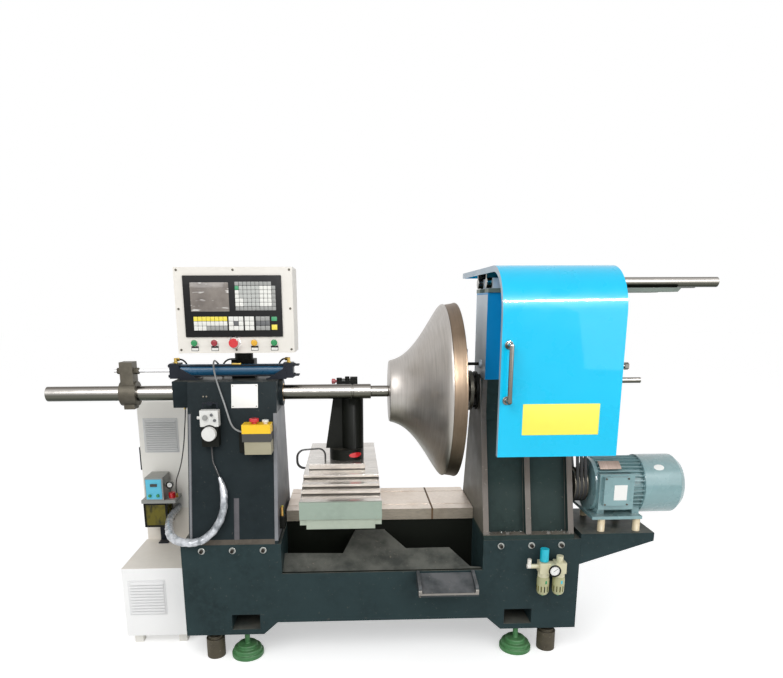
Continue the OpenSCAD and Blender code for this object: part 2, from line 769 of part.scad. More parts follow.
// Flat beams on the housing, with a chamfered right end
beam_w = 78;
beam_x1 = head_x1 + 456;
module guard_beams() color("darkslategray")
    for (y = [-guide_y, guide_y])
        plate_y([
            [house_x0, house_top_z], [beam_x1 - 16, house_top_z], [beam_x1, beam_z], [house_x0, beam_z]
        ], y - beam_w / 2, y + beam_w / 2);

// Open linear bearings on the beams, slotted at the top for the guide shafts' webs
bearing_block = [80, 74];
module guard_bearings() color("gray")
    for (y = [-guide_y, guide_y]) for (x = [house_x0 + 20, house_x1 - 100]) difference() {
        block([x, y - bearing_block[1] / 2, beam_z],
            [x + bearing_block[0], y + bearing_block[1] / 2, guide_z + guide_d / 2 - 2]);
        bar_x(guide_d + 2 * run_gap, x - 1, x + bearing_block[0] + 1, y, guide_z);
    }

// Section of the guard in Y and Z, moved inwards by an inset
module guard_section(inset) {
    y0 = guard_y0 + inset;
    z1 = guard_top_z - inset;
    r = guard_r - inset;
    difference() {
        union() {
            polygon([[y0, guard_low_z], [y0 + r, guard_low_z], [y0 + r, z1 - r], [y0, z1 - r]]);
            polygon([[y0 + r, z1 - r], [guard_y1, z1 - r], [guard_y1, z1], [y0 + r, z1]]);
            translate([y0 + r, z1 - r]) circle(r = r, $fn = 96);
        }
    }
}

// Sliding guard: a bent sheet with folded edges
module guard_band(outer, inner, x0, x1)
    translate([x0, 0, 0]) rotate([90, 0, 90]) linear_extrude(x1 - x0) difference() {
        guard_section(outer);
        translate([0, -eps]) guard_inner(inner);
    }

module guard_inner(inset) {
    y0 = guard_y0 + inset;
    z1 = guard_top_z - inset;
    r = guard_r - inset;
    polygon([[y0, 0], [guard_y1 + 9, 0], [guard_y1 + 9, z1], [y0 + r, z1], [y0 + r, z1 - r], [y0, z1 - r]]);
    translate([y0 + r, z1 - r]) circle(r = r, $fn = 96);
}

module guard_shell() color("deepskyblue") {
    guard_band(0, guard_sheet, guard_x, guard_x1);
    guard_band(guard_sheet, guard_edge, guard_x, guard_x + guard_sheet);
    guard_band(guard_sheet, guard_edge, guard_x1 - guard_sheet, guard_x1);
    block([guard_x, guard_y1 - guard_sheet, guard_top_z - guard_edge],
        [guard_x1, guard_y1, guard_top_z - guard_sheet]);
    block([guard_x, guard_y0 + guard_sheet, guard_low_z],
        [guard_x1, guard_y0 + guard_edge, guard_low_z + guard_sheet]);
}

// Guide shafts with the webs that hang them under the guard
module guide_shafts() color("silver")
    for (y = [-guide_y, guide_y]) {
        top_z = guard_top_z - guard_sheet - eps;
        bar_x(guide_d, guard_x + 6, guide_end_x, y, guide_z);
        block([guard_x + 6, y - 6, guide_z + guide_d / 2 - 4], [guard_x1 - 6, y + 6, top_z]);
        block([guard_x + 6, y - 62, top_z - 12], [guard_x1 - 6, y + 62, top_z]);
    }

// Bow handle on the guard's front
handle_x = guard_x + 28;
handle_z0 = 1218;
handle_z1 = 1436;
module guard_handle() color("silver") {
    y = guard_y0 - handle_out + 9;
    for (z = [handle_z0, handle_z1]) {
        bar_y(34, guard_y0 - 7, guard_y0, handle_x, z);
        bar_y(18, y, guard_y0 - 7, handle_x, z);
        translate([handle_x, y, z]) sphere(d = 18);
    }
    bar_z(18, handle_z0, handle_z1, handle_x, y);
}

// Welded shelf for the motor on the bed's right end, with the motor's spacers
module motor_shelf() color("darkslategray") {
    e = bed_end;
    back = 70;
    block([e, bed_front_y, shelf_z - 20], [shelf_x1, back, shelf_z]);
    for (y = [bed_front_y, -110, back - 14])
        plate_y([[e, shelf_z - 20], [shelf_x1, shelf_z - 20], [shelf_x1, shelf_z - 38], [e, shelf_z - 145]], y, y + 14);
    color("bisque")
        for (x = spacer_xs) for (y = [motor_y - 108, motor_y + 108]) {
            bar_z(32, shelf_z, motor_foot_z, x, y);
        }
}

// Motor frame with fins, feet, drive-end flange and terminal box
spacer_xs = [motor_x + 41, motor_x + 202];
motor_len = 232;
stator_bore = 150;
fin_count = 36;
module motor_body() color("slategray") {
    difference() {
        union() {
            bar_x(motor_d - 36, motor_x + 12, motor_x + motor_len, motor_y, motor_z);
            bar_x(motor_d - 16, motor_x, motor_x + 18, motor_y, motor_z);
            bar_x(cowl_d - 8 - 2 * run_gap, cowl_x0 - cowl_lap - 2, cowl_x0, motor_y, motor_z);
            for (i = [0:fin_count - 1])
                translate([motor_x + 18, motor_y, motor_z]) rotate([i * 360 / fin_count, 0, 0])
                    translate([0, 0, motor_d / 2 - 20]) translate([0, -2, 0]) cube([motor_len - 32, 4, 20]);
            block([motor_x - 9, motor_y - 128, motor_foot_z], [motor_x + 218, motor_y + 128, motor_foot_z + 14]);
            for (x = spacer_xs)
                block([x - 16, motor_y - 90, motor_foot_z], [x + 16, motor_y + 90, motor_z - 60]);
            // Terminal box with its rim and lid, on the side that faces the operator
            block([motor_x + 12, motor_y - 135, motor_z - 74], [motor_x + 156, motor_y - 96, motor_z + 76]);
            block([motor_x + 6, motor_y - 143, motor_z - 80], [motor_x + 162, motor_y - 135, motor_z + 82]);
            block([motor_x + 20, motor_y - 165, motor_z - 55], [motor_x + 130, motor_y - 143, motor_z + 74]);
        }
        bar_x(stator_bore, motor_x + 40, motor_x + motor_len - 40, motor_y, motor_z);
        bar_x(38 + 2 * run_gap, motor_x - 1, motor_x + motor_len + 1, motor_y, motor_z);
    }
}

cowl_x0 = motor_x + motor_len;
cowl_len = 176;
cowl_lap = 12;
module motor_cowl() color("slategray") difference() {
    union() {
        bar_x(cowl_d, cowl_x0 - cowl_lap, cowl_x0 + cowl_len - 26, motor_y, motor_z);
        translate([cowl_x0 + cowl_len - 26, motor_y, motor_z]) rotate([0, 90, 0])
            cylinder(d1 = cowl_d, d2 = cowl_d - 44, h = 26);
    }
    bar_x(cowl_d - 8, cowl_x0 - cowl_lap - 1, cowl_x0 + cowl_len - 30, motor_y, motor_z);
    for (a = [0:30:330])
        translate([cowl_x0, motor_y, motor_z]) rotate([a, 0, 0]) translate([0, -6, 48])
            cube([cowl_len + 1, 12, 50]);
}

// Rotor, shaft, cooling fan and motor pulley
module motor_rotor() color("dimgray") {
    shaft_x1 = cowl_x0 + 80;
    bar_x(38, pulley_x, shaft_x1, motor_y, motor_z);
    difference() {
        bar_x(stator_bore - 4, motor_x + 60, motor_x + motor_len - 60, motor_y, motor_z);
        bar_x(38, motor_x + 50, motor_x + motor_len - 50, motor_y, motor_z);
    }
    pulley(small_pulley_r, pulley_x, motor_y, motor_z, 38);
    for (a = [0:60:300])
        translate([cowl_x0 + 24, motor_y, motor_z]) rotate([a, 0, 0]) translate([0, -2, 18])
            cube([44, 4, cowl_d / 2 - 40]);
    difference() {
        bar_x(70, cowl_x0 + 20, cowl_x0 + 72, motor_y, motor_z);
        bar_x(38, cowl_x0 + 10, cowl_x0 + 80, motor_y, motor_z);
    }
}

// Saddle on the slideway: gibs, stepped covers and the green front plates
screw_y = way_y1 + 16;
long_screw_z = way_z - 30;
cross_screw_z = saddle_z - 62;
slot_w = 70;
slot_y0 = 35;
slot_y1 = 355;
screw_d = 25;
module saddle() color("lightgray") {
    gib_gap = slide_gap;
    difference() {
        union() {
            block([saddle_x0 + 20, way_y0 - 70, saddle_base_z], [saddle_x1 - 20, way_y1 + 60, saddle_z - 40]);
            block([saddle_x0, saddle_y0 + 12, saddle_base_z + 36], [saddle_x1, saddle_y1, saddle_z]);
            for (i = [1, 2])
                block([saddle_x0 + i, saddle_y0 + 59 + i * 46, saddle_z - 1],
                    [saddle_x1 - i, saddle_y1 - 12 * i, saddle_z + i * cover_step]);
            block([saddle_x0 + 40, way_y0 - 40, way_z - way_lip - 16], [saddle_x1 - 40, way_y0 - gib_gap, saddle_base_z]);
            block([saddle_x0 + 40, way_y0 - 40, way_z - way_lip - 16], [saddle_x1 - 40, way_y0 + 8, way_z - way_lip - gib_gap]);
            block([saddle_x0 + 40, way_y1 + gib_gap, way_z - way_lip - 16], [saddle_x1 - 40, way_y1 + 40, saddle_base_z]);
            block([saddle_x0 + 40, way_y1 - 8, way_z - way_lip - 16], [saddle_x1 - 40, way_y1 + 40, way_z - way_lip - gib_gap]);
        }
        // Slot for the cross nut and the cross screw
        block([saddle_x - slot_w / 2, slot_y0, cross_screw_z - 34], [saddle_x + slot_w / 2, slot_y1, slide_base_z + 1]);
        bar_y(screw_d, slot_y0 - 32, saddle_y1 + 1, saddle_x, cross_screw_z);
        bar_x(screw_d, saddle_x0 - 1, saddle_x1 + 1, screw_y, long_screw_z);
    }
    color("darkseagreen") {
        block([saddle_x0 - 1, saddle_y0, saddle_z - 76], [saddle_x1 + 1, saddle_y0 + 12, saddle_z]);
        block([saddle_x0 + 28, saddle_y0 + 8, saddle_z - 122], [saddle_x1 - 28, saddle_y0 + 20, saddle_z - 76]);
    }
}

// Feed screws
module long_screw() color("silver") {
    collar_x1 = way_end - bracket_w - slide_gap;
    bar_x(screw_d - 2 * run_gap, -way_end + 1, way_end - 1, screw_y, long_screw_z);
    bar_x(screw_d + 6, collar_x1 - 18, collar_x1, screw_y, long_screw_z);
}

module cross_screw() color("silver") {
    knob_y = saddle_y1 + slide_gap;
    bar_y(screw_d - 2 * run_gap, slot_y0 - 30, knob_y, saddle_x, cross_screw_z);
    bar_y(56, knob_y, knob_y + 36, saddle_x, cross_screw_z);
}

// Cross slide: cover sheet, slide plate and the nut that hangs in the saddle's slot
slide_y0 = -20;
module cross_slide() color("lightgray") {
    difference() {
        union() {
            block([saddle_x0 + 1, saddle_y0 + 238, slide_base_z], [saddle_x1 - 1, cabinet_back_y - 4, slide_cover_z]);
            block([saddle_x0 + 22, slide_y0, slide_cover_z - 1], [saddle_x0 + 287, slide_y0 + 260, slide_top_z]);
            block([saddle_x - 28, slot_y0 + 25, cross_screw_z - 26], [saddle_x + 28, slot_y0 + 115, slide_base_z]);
        }
        bar_y(screw_d, slot_y0 + 20, slot_y0 + 120, saddle_x, cross_screw_z);
    }
}

// Tool post: base disc, round column with a tapered web, and the tool head behind the quill
disc_h = 52;
roller_x = tool_x1 + 11;
roller_z = spindle_z - 10;
roller_pin_d = 14;
module tool_post() color("darkslategray") {
    z0 = slide_top_z + slide_gap + disc_h;
    y0 = post_y - post_depth / 2;
    y1 = post_y + post_depth / 2;
    head_right = roller_x - roller_d / 2 - 12;
    bar_z(post_disc_d, slide_top_z + slide_gap, z0, post_x, post_y - 8);
    column_x = tool_x1 - 2 - post_column_d / 2;
    bar_z(post_column_d, z0 - 1, post_top_z + 1, column_x, post_y);
    plate_y([
        [tool_x1 - post_foot_w, z0], [column_x, z0], [column_x, post_top_z],
        [tool_x1 - post_top_w, post_top_z]
    ], post_y - post_depth / 4, post_y + post_depth / 4);
    difference() {
        union() {
            block([tool_x1 - 128, y0 + 6, post_top_z], [head_right, y1 - 6, spindle_z + 40]);
            for (y = [roller_y - 22, roller_y + 14])
                block([head_right - 1, y, roller_z - 12], [roller_x + 12, y + 8, roller_z + 12]);
        }
        bar_y(roller_pin_d, roller_y - 30, roller_y + 30, roller_x, roller_z);
    }
    bar_y(roller_pin_d, roller_y - 25, roller_y + 25, roller_x, roller_z);
    // Fittings on the head
    bar_z(26, spindle_z + 40, spindle_z + 52, tool_x1 - 116, post_y - 20);
    bar_z(22, spindle_z + 40, spindle_z + 58, tool_x1 - 78, post_y - 20);
    block([tool_x1 - 64, post_y - 36, spindle_z + 40], [head_right, post_y - 4, spindle_z + 56]);
}

roller_y = post_y;
module tool_roller() color("silver") difference() {
    union() {
        bar_y(roller_d - 12, roller_y - roller_w / 2, roller_y + roller_w / 2, roller_x, roller_z);
        bar_y(roller_d, roller_y - roller_w / 4, roller_y + roller_w / 4, roller_x, roller_z);
    }
    bar_y(roller_pin_d + 2 * run_gap, roller_y - roller_w, roller_y + roller_w, roller_x, roller_z);
}

// Post that carries the control box
module control_stand() color("black") {
    boss_z = box_z - 40;
    block([box_x - stand_w / 2, stand_y - stand_depth / 2, tail_top_z],
        [box_x + stand_w / 2, stand_y + stand_depth / 2, boss_z]);
    bar_z(stand_depth, boss_z, box_z - 12, box_x, stand_y);
}

// Control box: white sheet case with holes for the face and the buttons
button_x0 = box_x - 7 - 2 * button_pitch;
module control_box() color("whitesmoke") {
    x0 = box_x - box_w / 2;
    difference() {
        block([x0, box_y0, box_z], [x0 + box_w, box_y1, box_z + box_h]);
        block([x0 + sheet, box_y0 + sheet, box_z + sheet], [x0 + box_w - sheet, box_y1 - sheet, box_z + box_h - sheet]);
        block([box_x - 5 - face_w / 2 + 14, box_y0 - 1, face_z - face_h / 2 + 14],
            [box_x - 5 + face_w / 2 - 14, box_y0 + sheet + 1, face_z + face_h / 2 - 14]);
        for (i = [0:4])
            bar_y(button_d + 1, box_y0 - 1, box_y0 + sheet + 1, button_x0 + i * button_pitch, button_z);
    }
    bar_z(stand_depth - 6, box_z - 12 + slide_gap, box_z, box_x, stand_y);
    // Button housings behind the panel
    for (i = [0:4]) {
        x = button_x0 + i * button_pitch;
        difference() {
            bar_y(i == 2 ? 46 : 30, box_y0 - collar_out, box_y0, x, button_z);
            bar_y(button_d + 1, box_y0 - collar_out - 1, box_y0 + 1, x, button_z);
        }
        block([x - 14, box_y0 + 26, button_z - 14], [x + 14, box_y0 + 50, button_z + 14]);
        for (z = [button_z - 20, button_z + 14])
            block([x - 14, box_y0 + sheet, z], [x + 14, box_y0 + 50, z + 6]);
    }
}

// Black control face with its screen recess and key fields
module control_face() color("black") {
    x0 = box_x - 5 - face_w / 2;
    z0 = face_z - face_h / 2;
    difference() {
        union() {
            block([x0, box_y0 - 7, z0], [x0 + face_w, box_y0, z0 + face_h]);
            block([x0 + 30, box_y0, z0 + 30], [x0 + face_w - 30, box_y0 + 70, z0 + face_h - 30]);
        }
        block([x0 + 32, box_y0 - 8, z0 + 106], [x0 + 200, box_y0 - 4, z0 + 230]);
    }
    color("lightgray") for (r = [0:5]) for (c = [0:6])
        block([x0 + 222 + c * 26, box_y0 - 9, z0 + 108 + r * 20.5], [x0 + 243 + c * 26, box_y0 - 7, z0 + 124 + r * 20.5]);
    color("gold") for (r = [0:2]) for (c = [0:6])
        block([x0 + 44 + c * 20.5, box_y0 - 9, z0 + 26 + r * 18], [x0 + 61 + c * 20.5, box_y0 - 7, z0 + 40 + r * 18]);
    color("lightgray") for (r = [0:2]) for (c = [0:8])
        block([x0 + 198 + c * 23, box_y0 - 9, z0 + 26 + r * 20], [x0 + 216 + c * 23, box_y0 - 7, z0 + 42 + r * 20]);
}

// Push button along Y: cap, plunger and collar
collar_out = 6;
button_travel = 4;
cap_y = box_y0 - collar_out - button_travel - 0.5;
module push_button(x, cap_d, cap_out) {
    bar_y(cap_d, cap_y - cap_out, cap_y, x, button_z);
    bar_y(button_d, cap_y, box_y0 + 20, x, button_z);
}
module start_button() color("limegreen") push_button(button_x0, 24, 8);
module stop_button() color("firebrick") push_button(button_x0 + button_pitch, 24, 8);
module panic_button() color("red") {
    x = button_x0 + 2 * button_pitch;
    push_button(x, 28, 12);
    translate([x, cap_y - 12, button_z]) rotate([90, 0, 0]) cylinder(d1 = 34, d2 = 40, h = 6);
    bar_y(40, cap_y - 26, cap_y - 18, x, button_z);
}
module pause_button() color("gold") push_button(button_x0 + 3 * button_pitch, 24, 8);
module clamp_button() color("limegreen") push_button(button_x0 + 4 * button_pitch, 24, 8);

// Emergency-stop station on the column's front
station_w = 122;
station_h = 130;
station_back = tail_front(station_z) - 2;
station_y0 = station_back - 76;
station_stop_x = station_x - 12;
station_reset_x = station_x + 36;
station_mid_y = station_y0 + 38;
module station_box() color("gold") {
    x0 = station_x - station_w / 2;
    top = station_z + station_h;
    difference() {
        union() {
            color("wheat") block([x0 + 8, station_y0 + 4, station_z], [x0 + station_w, station_back, station_z + 56]);
            color("dimgray") block([x0, station_y0, station_z + 56], [x0 + station_w, station_back, station_z + 78]);
            block([x0, station_y0, station_z + 78], [x0 + station_w, station_back, top]);
        }
        bar_z(button_d + 1, top - 40, top + 1, station_stop_x, station_mid_y);
        bar_z(19, top - 40, top + 1, station_reset_x, station_mid_y);
    }
    color("black") {
        plate_x([
            [station_back, station_z], [station_back, top - 40],
            [tail_front(top - 40), top - 40], [tail_front(station_z), station_z]
        ], x0 + 4, x0 + 34);
        plate_x([
            [station_back, station_z], [station_back, top - 40],
            [tail_front(top - 40), top - 40], [tail_front(station_z), station_z]
        ], x0 + 84, x0 + 114);
    }
}

module station_stop() color("red") {
    top = station_z + station_h;
    bar_z(button_d, top - 30, top + 8, station_stop_x, station_mid_y);
    bar_z(42, top + 8, top + 22, station_stop_x, station_mid_y);
}
module station_reset() color("white") {
    top = station_z + station_h;
    bar_z(18, top - 30, top + 6, station_reset_x, station_mid_y);
    bar_z(28, top + 6, top + 16, station_reset_x, station_mid_y);
}

// Hand-wheel pendant hanging on the column's front
pendant_y1 = tail_front(pendant_z - 66) - 1;
pendant_y0 = pendant_y1 - 44;
dial_z = pendant_z - 6;
module pendant() color("whitesmoke") {
    w = 78;
    x0 = pendant_x - w / 2;
    difference() {
        union() {
            block([x0, pendant_y0, pendant_z + 22], [x0 + w, pendant_y1, pendant_z + 92]);
            color("black") block([x0 + 3, pendant_y0, pendant_z - 66], [x0 + w - 3, pendant_y1, pendant_z + 22]);
        }
        bar_y(16.2, pendant_y0 - 1, pendant_y0 + 24, pendant_x, dial_z);
    }
    color("silver") {
        for (x = [x0 + 6, x0 + w - 11])
            block([x, pendant_y1 - 12, pendant_z + 92], [x + 5, pendant_y1 - 7, pendant_z + 118]);
        block([x0 + 6, pendant_y1 - 12, pendant_z + 116], [x0 + w - 6, pendant_y1 - 7, pendant_z + 121]);
    }
    // Hook and lower rest that hold the pendant off the sloping column
    color("black") {
        hook_z = pendant_z + 110;
        plate_x([
            [pendant_y1 - 16, hook_z], [pendant_y1 - 16, hook_z + 16], [pendant_y1 - 12.5, hook_z + 16],
            [pendant_y1 - 12.5, hook_z + 6], [tail_front(hook_z + 6), hook_z + 6], [tail_front(hook_z), hook_z]
        ], pendant_x - 10, pendant_x + 10);
        plate_x([
            [pendant_y1, pendant_z + 20], [pendant_y1, pendant_z + 60],
            [tail_front(pendant_z + 60), pendant_z + 60], [tail_front(pendant_z + 20), pendant_z + 20]
        ], pendant_x - 20, pendant_x + 20);
    }
    bar_x(14, x0 - 16, x0, (pendant_y0 + pendant_y1) / 2, pendant_z + 58);
}

module pendant_dial() color("white") {
    bar_y(72, pendant_y0 - 16, pendant_y0 - slide_gap, pendant_x, dial_z);
    bar_y(16, pendant_y0 - slide_gap, pendant_y0 + 20, pendant_x, dial_z);
    bar_y(14, pendant_y0 - 30, pendant_y0 - 16, pendant_x + 20, dial_z + 12);
}

// Electrical cabinet: tall rear case and low front box with louvred panels
cabinet_x1 = cabinet_x0 + cabinet_w;
low_x0 = cabinet_x0 - 7;
door_margin = 14;
module louvres(y, z0, count, pitch, x0)
    for (i = [0:count - 1])
        block([x0, y - 1, z0 + i * pitch], [x0 + 150, y + sheet + 1, z0 + i * pitch + 6]);

module cabinet() color("ivory") {
    difference() {
        union() {
            block([cabinet_x0, cabinet_mid_y, cabinet_leg], [cabinet_x1, cabinet_back_y, cabinet_top_z]);
            block([low_x0, cabinet_front_y, cabinet_leg], [cabinet_x1, cabinet_mid_y + 1, cabinet_low_z]);
        }
        block([cabinet_x0 + sheet, cabinet_mid_y + sheet, cabinet_low_z + sheet],
            [cabinet_x1 - sheet, cabinet_back_y - sheet, cabinet_top_z - sheet]);
        block([low_x0 + sheet, cabinet_front_y + sheet, cabinet_leg + sheet],
            [cabinet_x1 - sheet, cabinet_mid_y - sheet, cabinet_low_z - sheet]);
        block([cabinet_x0 + sheet, cabinet_mid_y - sheet - 1, cabinet_leg + sheet],
            [cabinet_x1 - sheet, cabinet_back_y - sheet, cabinet_low_z - sheet]);
        block([cabinet_x0 - 1, cabinet_mid_y + door_margin + 16, cabinet_low_z + 40],
            [cabinet_x0 + sheet + 1, door_y1 - 16, cabinet_top_z - 30]);
        louvres(cabinet_front_y, cabinet_low_z - 230, 10, 17, cabinet_x0 + 28);
        louvres(cabinet_mid_y, cabinet_top_z - 252, 9, 18, cabinet_x0 + 38);
    }
    for (x = [cabinet_x0 + 20, cabinet_x1 - 60]) for (y = [cabinet_front_y + 20, cabinet_back_y - 60])
        block([x, y, 0], [x + 40, y + 40, cabinet_leg]);
    // Mounting plate inside
    block([cabinet_x0 + sheet, cabinet_back_y - 40, cabinet_low_z + 60],
        [cabinet_x1 - sheet, cabinet_back_y - 36, cabinet_top_z - 60]);
    // Hinge pin with its lugs on the left side
    bar_z(hinge_pin_d, door_z0 - 10, door_z1 + 10, hinge_x, hinge_y);
    for (z = [door_z0 - 12, door_z1 + slide_gap])
        block([hinge_x - 6, hinge_y - 6, z], [cabinet_x0 + 1, hinge_y + 6, z + 12 - slide_gap]);
}

// Door on the left side of the tall case, hinged on its rear edge
hinge_pin_d = 6;
hinge_x = cabinet_x0 - 6;
hinge_y = cabinet_back_y - 20;
door_y1 = hinge_y - 4;
door_z0 = cabinet_low_z + 22;
door_z1 = cabinet_top_z - 14;
module cabinet_door() color("ivory") {
    y0 = cabinet_mid_y + door_margin;
    pull_z = (door_z0 + door_z1) / 2;
    difference() {
        union() {
            block([cabinet_x0 - slide_gap - 4, y0, door_z0], [cabinet_x0 - slide_gap, door_y1, door_z1]);
            bar_z(hinge_pin_d + 5, door_z0, door_z1, hinge_x, hinge_y);
        }
        bar_z(hinge_pin_d + 2 * run_gap, door_z0 - 1, door_z1 + 1, hinge_x, hinge_y);
    }
    block([cabinet_x0 - slide_gap - 16, y0 + 14, pull_z], [cabinet_x0 - slide_gap - 4, y0 + 32, pull_z + 120]);
}

// Lubricator with its tank, on a bracket in front of the cabinet
lube_x0 = cabinet_x0 + 54;
lube_y0 = 115;
lube_z = cabinet_low_z + 255;
module lubricator() color("gray") {
    y1 = cabinet_mid_y - 6;
    block([lube_x0, lube_y0, lube_z], [lube_x0 + 88, y1 - 10, lube_z + 117]);
    color("steelblue") block([lube_x0 + 5, lube_y0 - 2, lube_z + 7], [lube_x0 + 80, lube_y0, lube_z + 107]);
    color("limegreen") for (x = [lube_x0 + 20, lube_x0 + 62]) bar_y(9, lube_y0 - 8, lube_y0 - 2, x, lube_z + 27);
    block([lube_x0 - 26, lube_y0 + 4, lube_z - 17], [lube_x0 + 142, y1 - 10, lube_z]);
    color("olive") block([lube_x0 - 18, lube_y0 + 12, lube_z - 143], [lube_x0 + 94, y1 - 16, lube_z - 17]);
    color("silver") {
        bar_y(34, lube_y0 + 30, lube_y0 + 48, lube_x0 + 112, lube_z + 71);
        bar_x(10, lube_x0 + 87, lube_x0 + 112, lube_y0 + 39, lube_z + 71);
    }
    color("red") bar_z(34, lube_z, lube_z + 27, lube_x0 + 116, lube_y0 + 46);
    // Bracket arm to the low box behind the tank
    color("black") block([lube_x0 + 20, y1 - 16, cabinet_low_z], [lube_x0 + 70, y1 - 10, lube_z - 17]);
    color("black") block([lube_x0 + 20, y1 - 60, cabinet_low_z], [lube_x0 + 70, y1 - 10, cabinet_low_z + 6]);
}

// Compressed-air service unit on the bed's right block
air_y = bed_front_y - 38;
air_bowl_x = [bed_end - 174, bed_end - 104];
air_z = bed_wall_z + 31;
module air_unit() color("ivory") {
    for (x = air_bowl_x) {
        block([x - 24, air_y - 26, air_z - 28], [x + 24, air_y + 24, air_z + 22]);
        bar_z(44, air_z - 122, air_z - 28, x, air_y);
        bar_z(50, air_z - 48, air_z - 28, x, air_y);
        bar_z(12, air_z - 134, air_z - 122, x, air_y);
    }
    block([air_bowl_x[0] + 24, air_y - 18, air_z - 16], [air_bowl_x[1] - 24, air_y + 18, air_z + 16]);
    color("dimgray") {
        for (x = air_bowl_x) block([x - 10, air_y + 24, air_z - 16], [x + 10, bed_front_y, air_z + 14]);
        bar_x(20, air_bowl_x[0] - 76, air_bowl_x[0] - 24, air_y, air_z);
        bar_z(18, air_z, air_z + 34, air_bowl_x[0] - 66, air_y);
    }
    color("white") bar_y(52, air_y - 42, air_y - 26, air_bowl_x[0] + 36, air_z - 6);
    color("ivory") bar_z(30, air_z + 22, air_z + 48, air_bowl_x[1], air_y);
}

module air_knob() color("royalblue") {
    bar_z(38, air_z + 24, air_z + 82, air_bowl_x[0], air_y);
    bar_z(18, air_z + 22 + slide_gap, air_z + 24, air_bowl_x[0], air_y);
}

// Tube swept along a route: one ring of points across the path at every step
function spline(p, i, t) =
    let (a = p[max(i - 1, 0)], b = p[i], c = p[i + 1], d = p[min(i + 2, len(p) - 1)])
    0.5 * (2 * b + (c - a) * t + (2 * a - 5 * b + 4 * c - d) * t * t + (3 * b - a - 3 * c + d) * t * t * t);
function route(p, n) = concat(
    [for (i = [0:len(p) - 2]) for (k = [0:n - 1]) spline(p, i, k / n)], [p[len(p) - 1]]);
function unit(v) = v / norm(v);
function heading(q, i) = unit(q[min(i + 1, len(q) - 1)] - q[max(i - 1, 0)]);
function ring(q, i, d, sides, ends) =
    let (t = i == 0 ? unit(ends[0]) : i == len(q) - 1 ? unit(ends[1]) : heading(q, i),
         u = unit(cross(t, [0.31, 0.9, 0.3])), v = cross(t, u))
    [for (k = [0:sides - 1]) q[i] + d / 2 * (cos(k * 360 / sides) * u + sin(k * 360 / sides) * v)];
module tube(points, d, sides, n, ends) translate([tail_x0, 0, 0]) {
    q = route(points, n);
    rings = len(q);
    polyhedron(
        points = [for (i = [0:rings - 1]) each ring(q, i, d, sides, ends)],
        faces = concat(
            [[for (k = [0:sides - 1]) k]],
            [for (i = [0:rings - 2]) for (k = [0:sides - 1])
                [i * sides + k, (i + 1) * sides + k, (i + 1) * sides + (k + 1) % sides, i * sides + (k + 1) % sides]],
            [[for (k = [sides - 1:-1:0]) (rings - 1) * sides + k]]
        )
    );
}

// Routes of the loose cables, from the tailstock column's left face
pendant_route = [
    [109, -207, 994], [109, -209, 965], [113, -219, 925], [127, -229, 893], [141, -238, 860]
];
conduit_route = [
    [141, -238, 860], [155, -248, 818], [160, -260, 765], [154, -271, 712], [135, -282, 664],
    [105, -291, 624], [63, -300, 594], [19, -302, 584], [-22, -292, 583], [-58, -268, 584],
    [-86, -232, 585], [-107, -188, 585], [-125, -138, 584], [-141, -86, 583], [-156, -32, 581],
    [-170, 28, 577], [-182, 92, 570], [-188, 152, 566], [-188, 202, 566], [-188, 252, 566]
];
panel_route = [
    [166, 82, 1292], [145, 81, 1294], [125, 75, 1302], [110, 60, 1315], [102, 38, 1331], [99, 10, 1343],
    [100, -20, 1344], [104, -52, 1336], [111, -84, 1314], [122, -112, 1285], [136, -136, 1250],
    [150, -153, 1214], [164, -167, 1177], [177, -181, 1140], [189, -196, 1108], [202, -211, 1082],
    [217, -222, 1065], [234, -227, 1058], [252, -228, 1057]
];
conduit_lead = [14, -10, -42];
module pendant_cable() color("black") tube(pendant_route, 8, 8, 6, [[0, 0, -1], conduit_lead]);
module wrapped_conduit() color("silver") tube(conduit_route, 44, 10, 4, [conduit_lead, [0, 1, 0]]);
module panel_cable() color("gainsboro") tube(panel_route, 8, 8, 6, [[-1, 0, 0], [1, 0, 0]]);

placed() bed();
placed() chip_pan();
placed() front_tray();
placed() levelling_jacks();
placed() rubber_pads();
placed() slideway();
placed() tailstock_column();
placed() tailstock_head();
placed() quill_bushes();
placed() cylinder_barrel();
placed() cylinder_caps();
placed() quill();
placed() quill_yoke();
placed() piston_rod();
placed() pressure_pad();
placed() headstock_column();
placed() spindle_bearings();
placed() spindle();
placed() mandrel();
placed() spindle_pulley();
placed() drive_belts();
placed() lock_lever();
placed() upper_housing();
placed() housing_end_plate();
placed() guard_beams();
placed() guard_bearings();
placed() guard_shell();
placed() guide_shafts();
placed() guard_handle();
placed() motor_shelf();
placed() motor_body();
placed() motor_cowl();
placed() motor_rotor();
placed() saddle();
placed() long_screw();
placed() cross_slide();
placed() cross_screw();
placed() tool_post();
placed() tool_roller();
placed() control_stand();
placed() control_box();
placed() control_face();
placed() start_button();
placed() stop_button();
placed() panic_button();
placed() pause_button();
placed() clamp_button();
placed() station_box();
placed() station_stop();
placed() station_reset();
placed() pendant();
placed() pendant_dial();
placed() cabinet();
placed() cabinet_door();
placed() lubricator();
placed() air_unit();
placed() air_knob();
placed() pendant_cable();
placed() wrapped_conduit();
placed() panel_cable();
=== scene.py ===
"""Looks of a metal spinning lathe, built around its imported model. Lengths are in metres unless a name says mm."""

import json
import math

import bmesh
import bpy
import numpy as np
from mathutils import Matrix, Vector


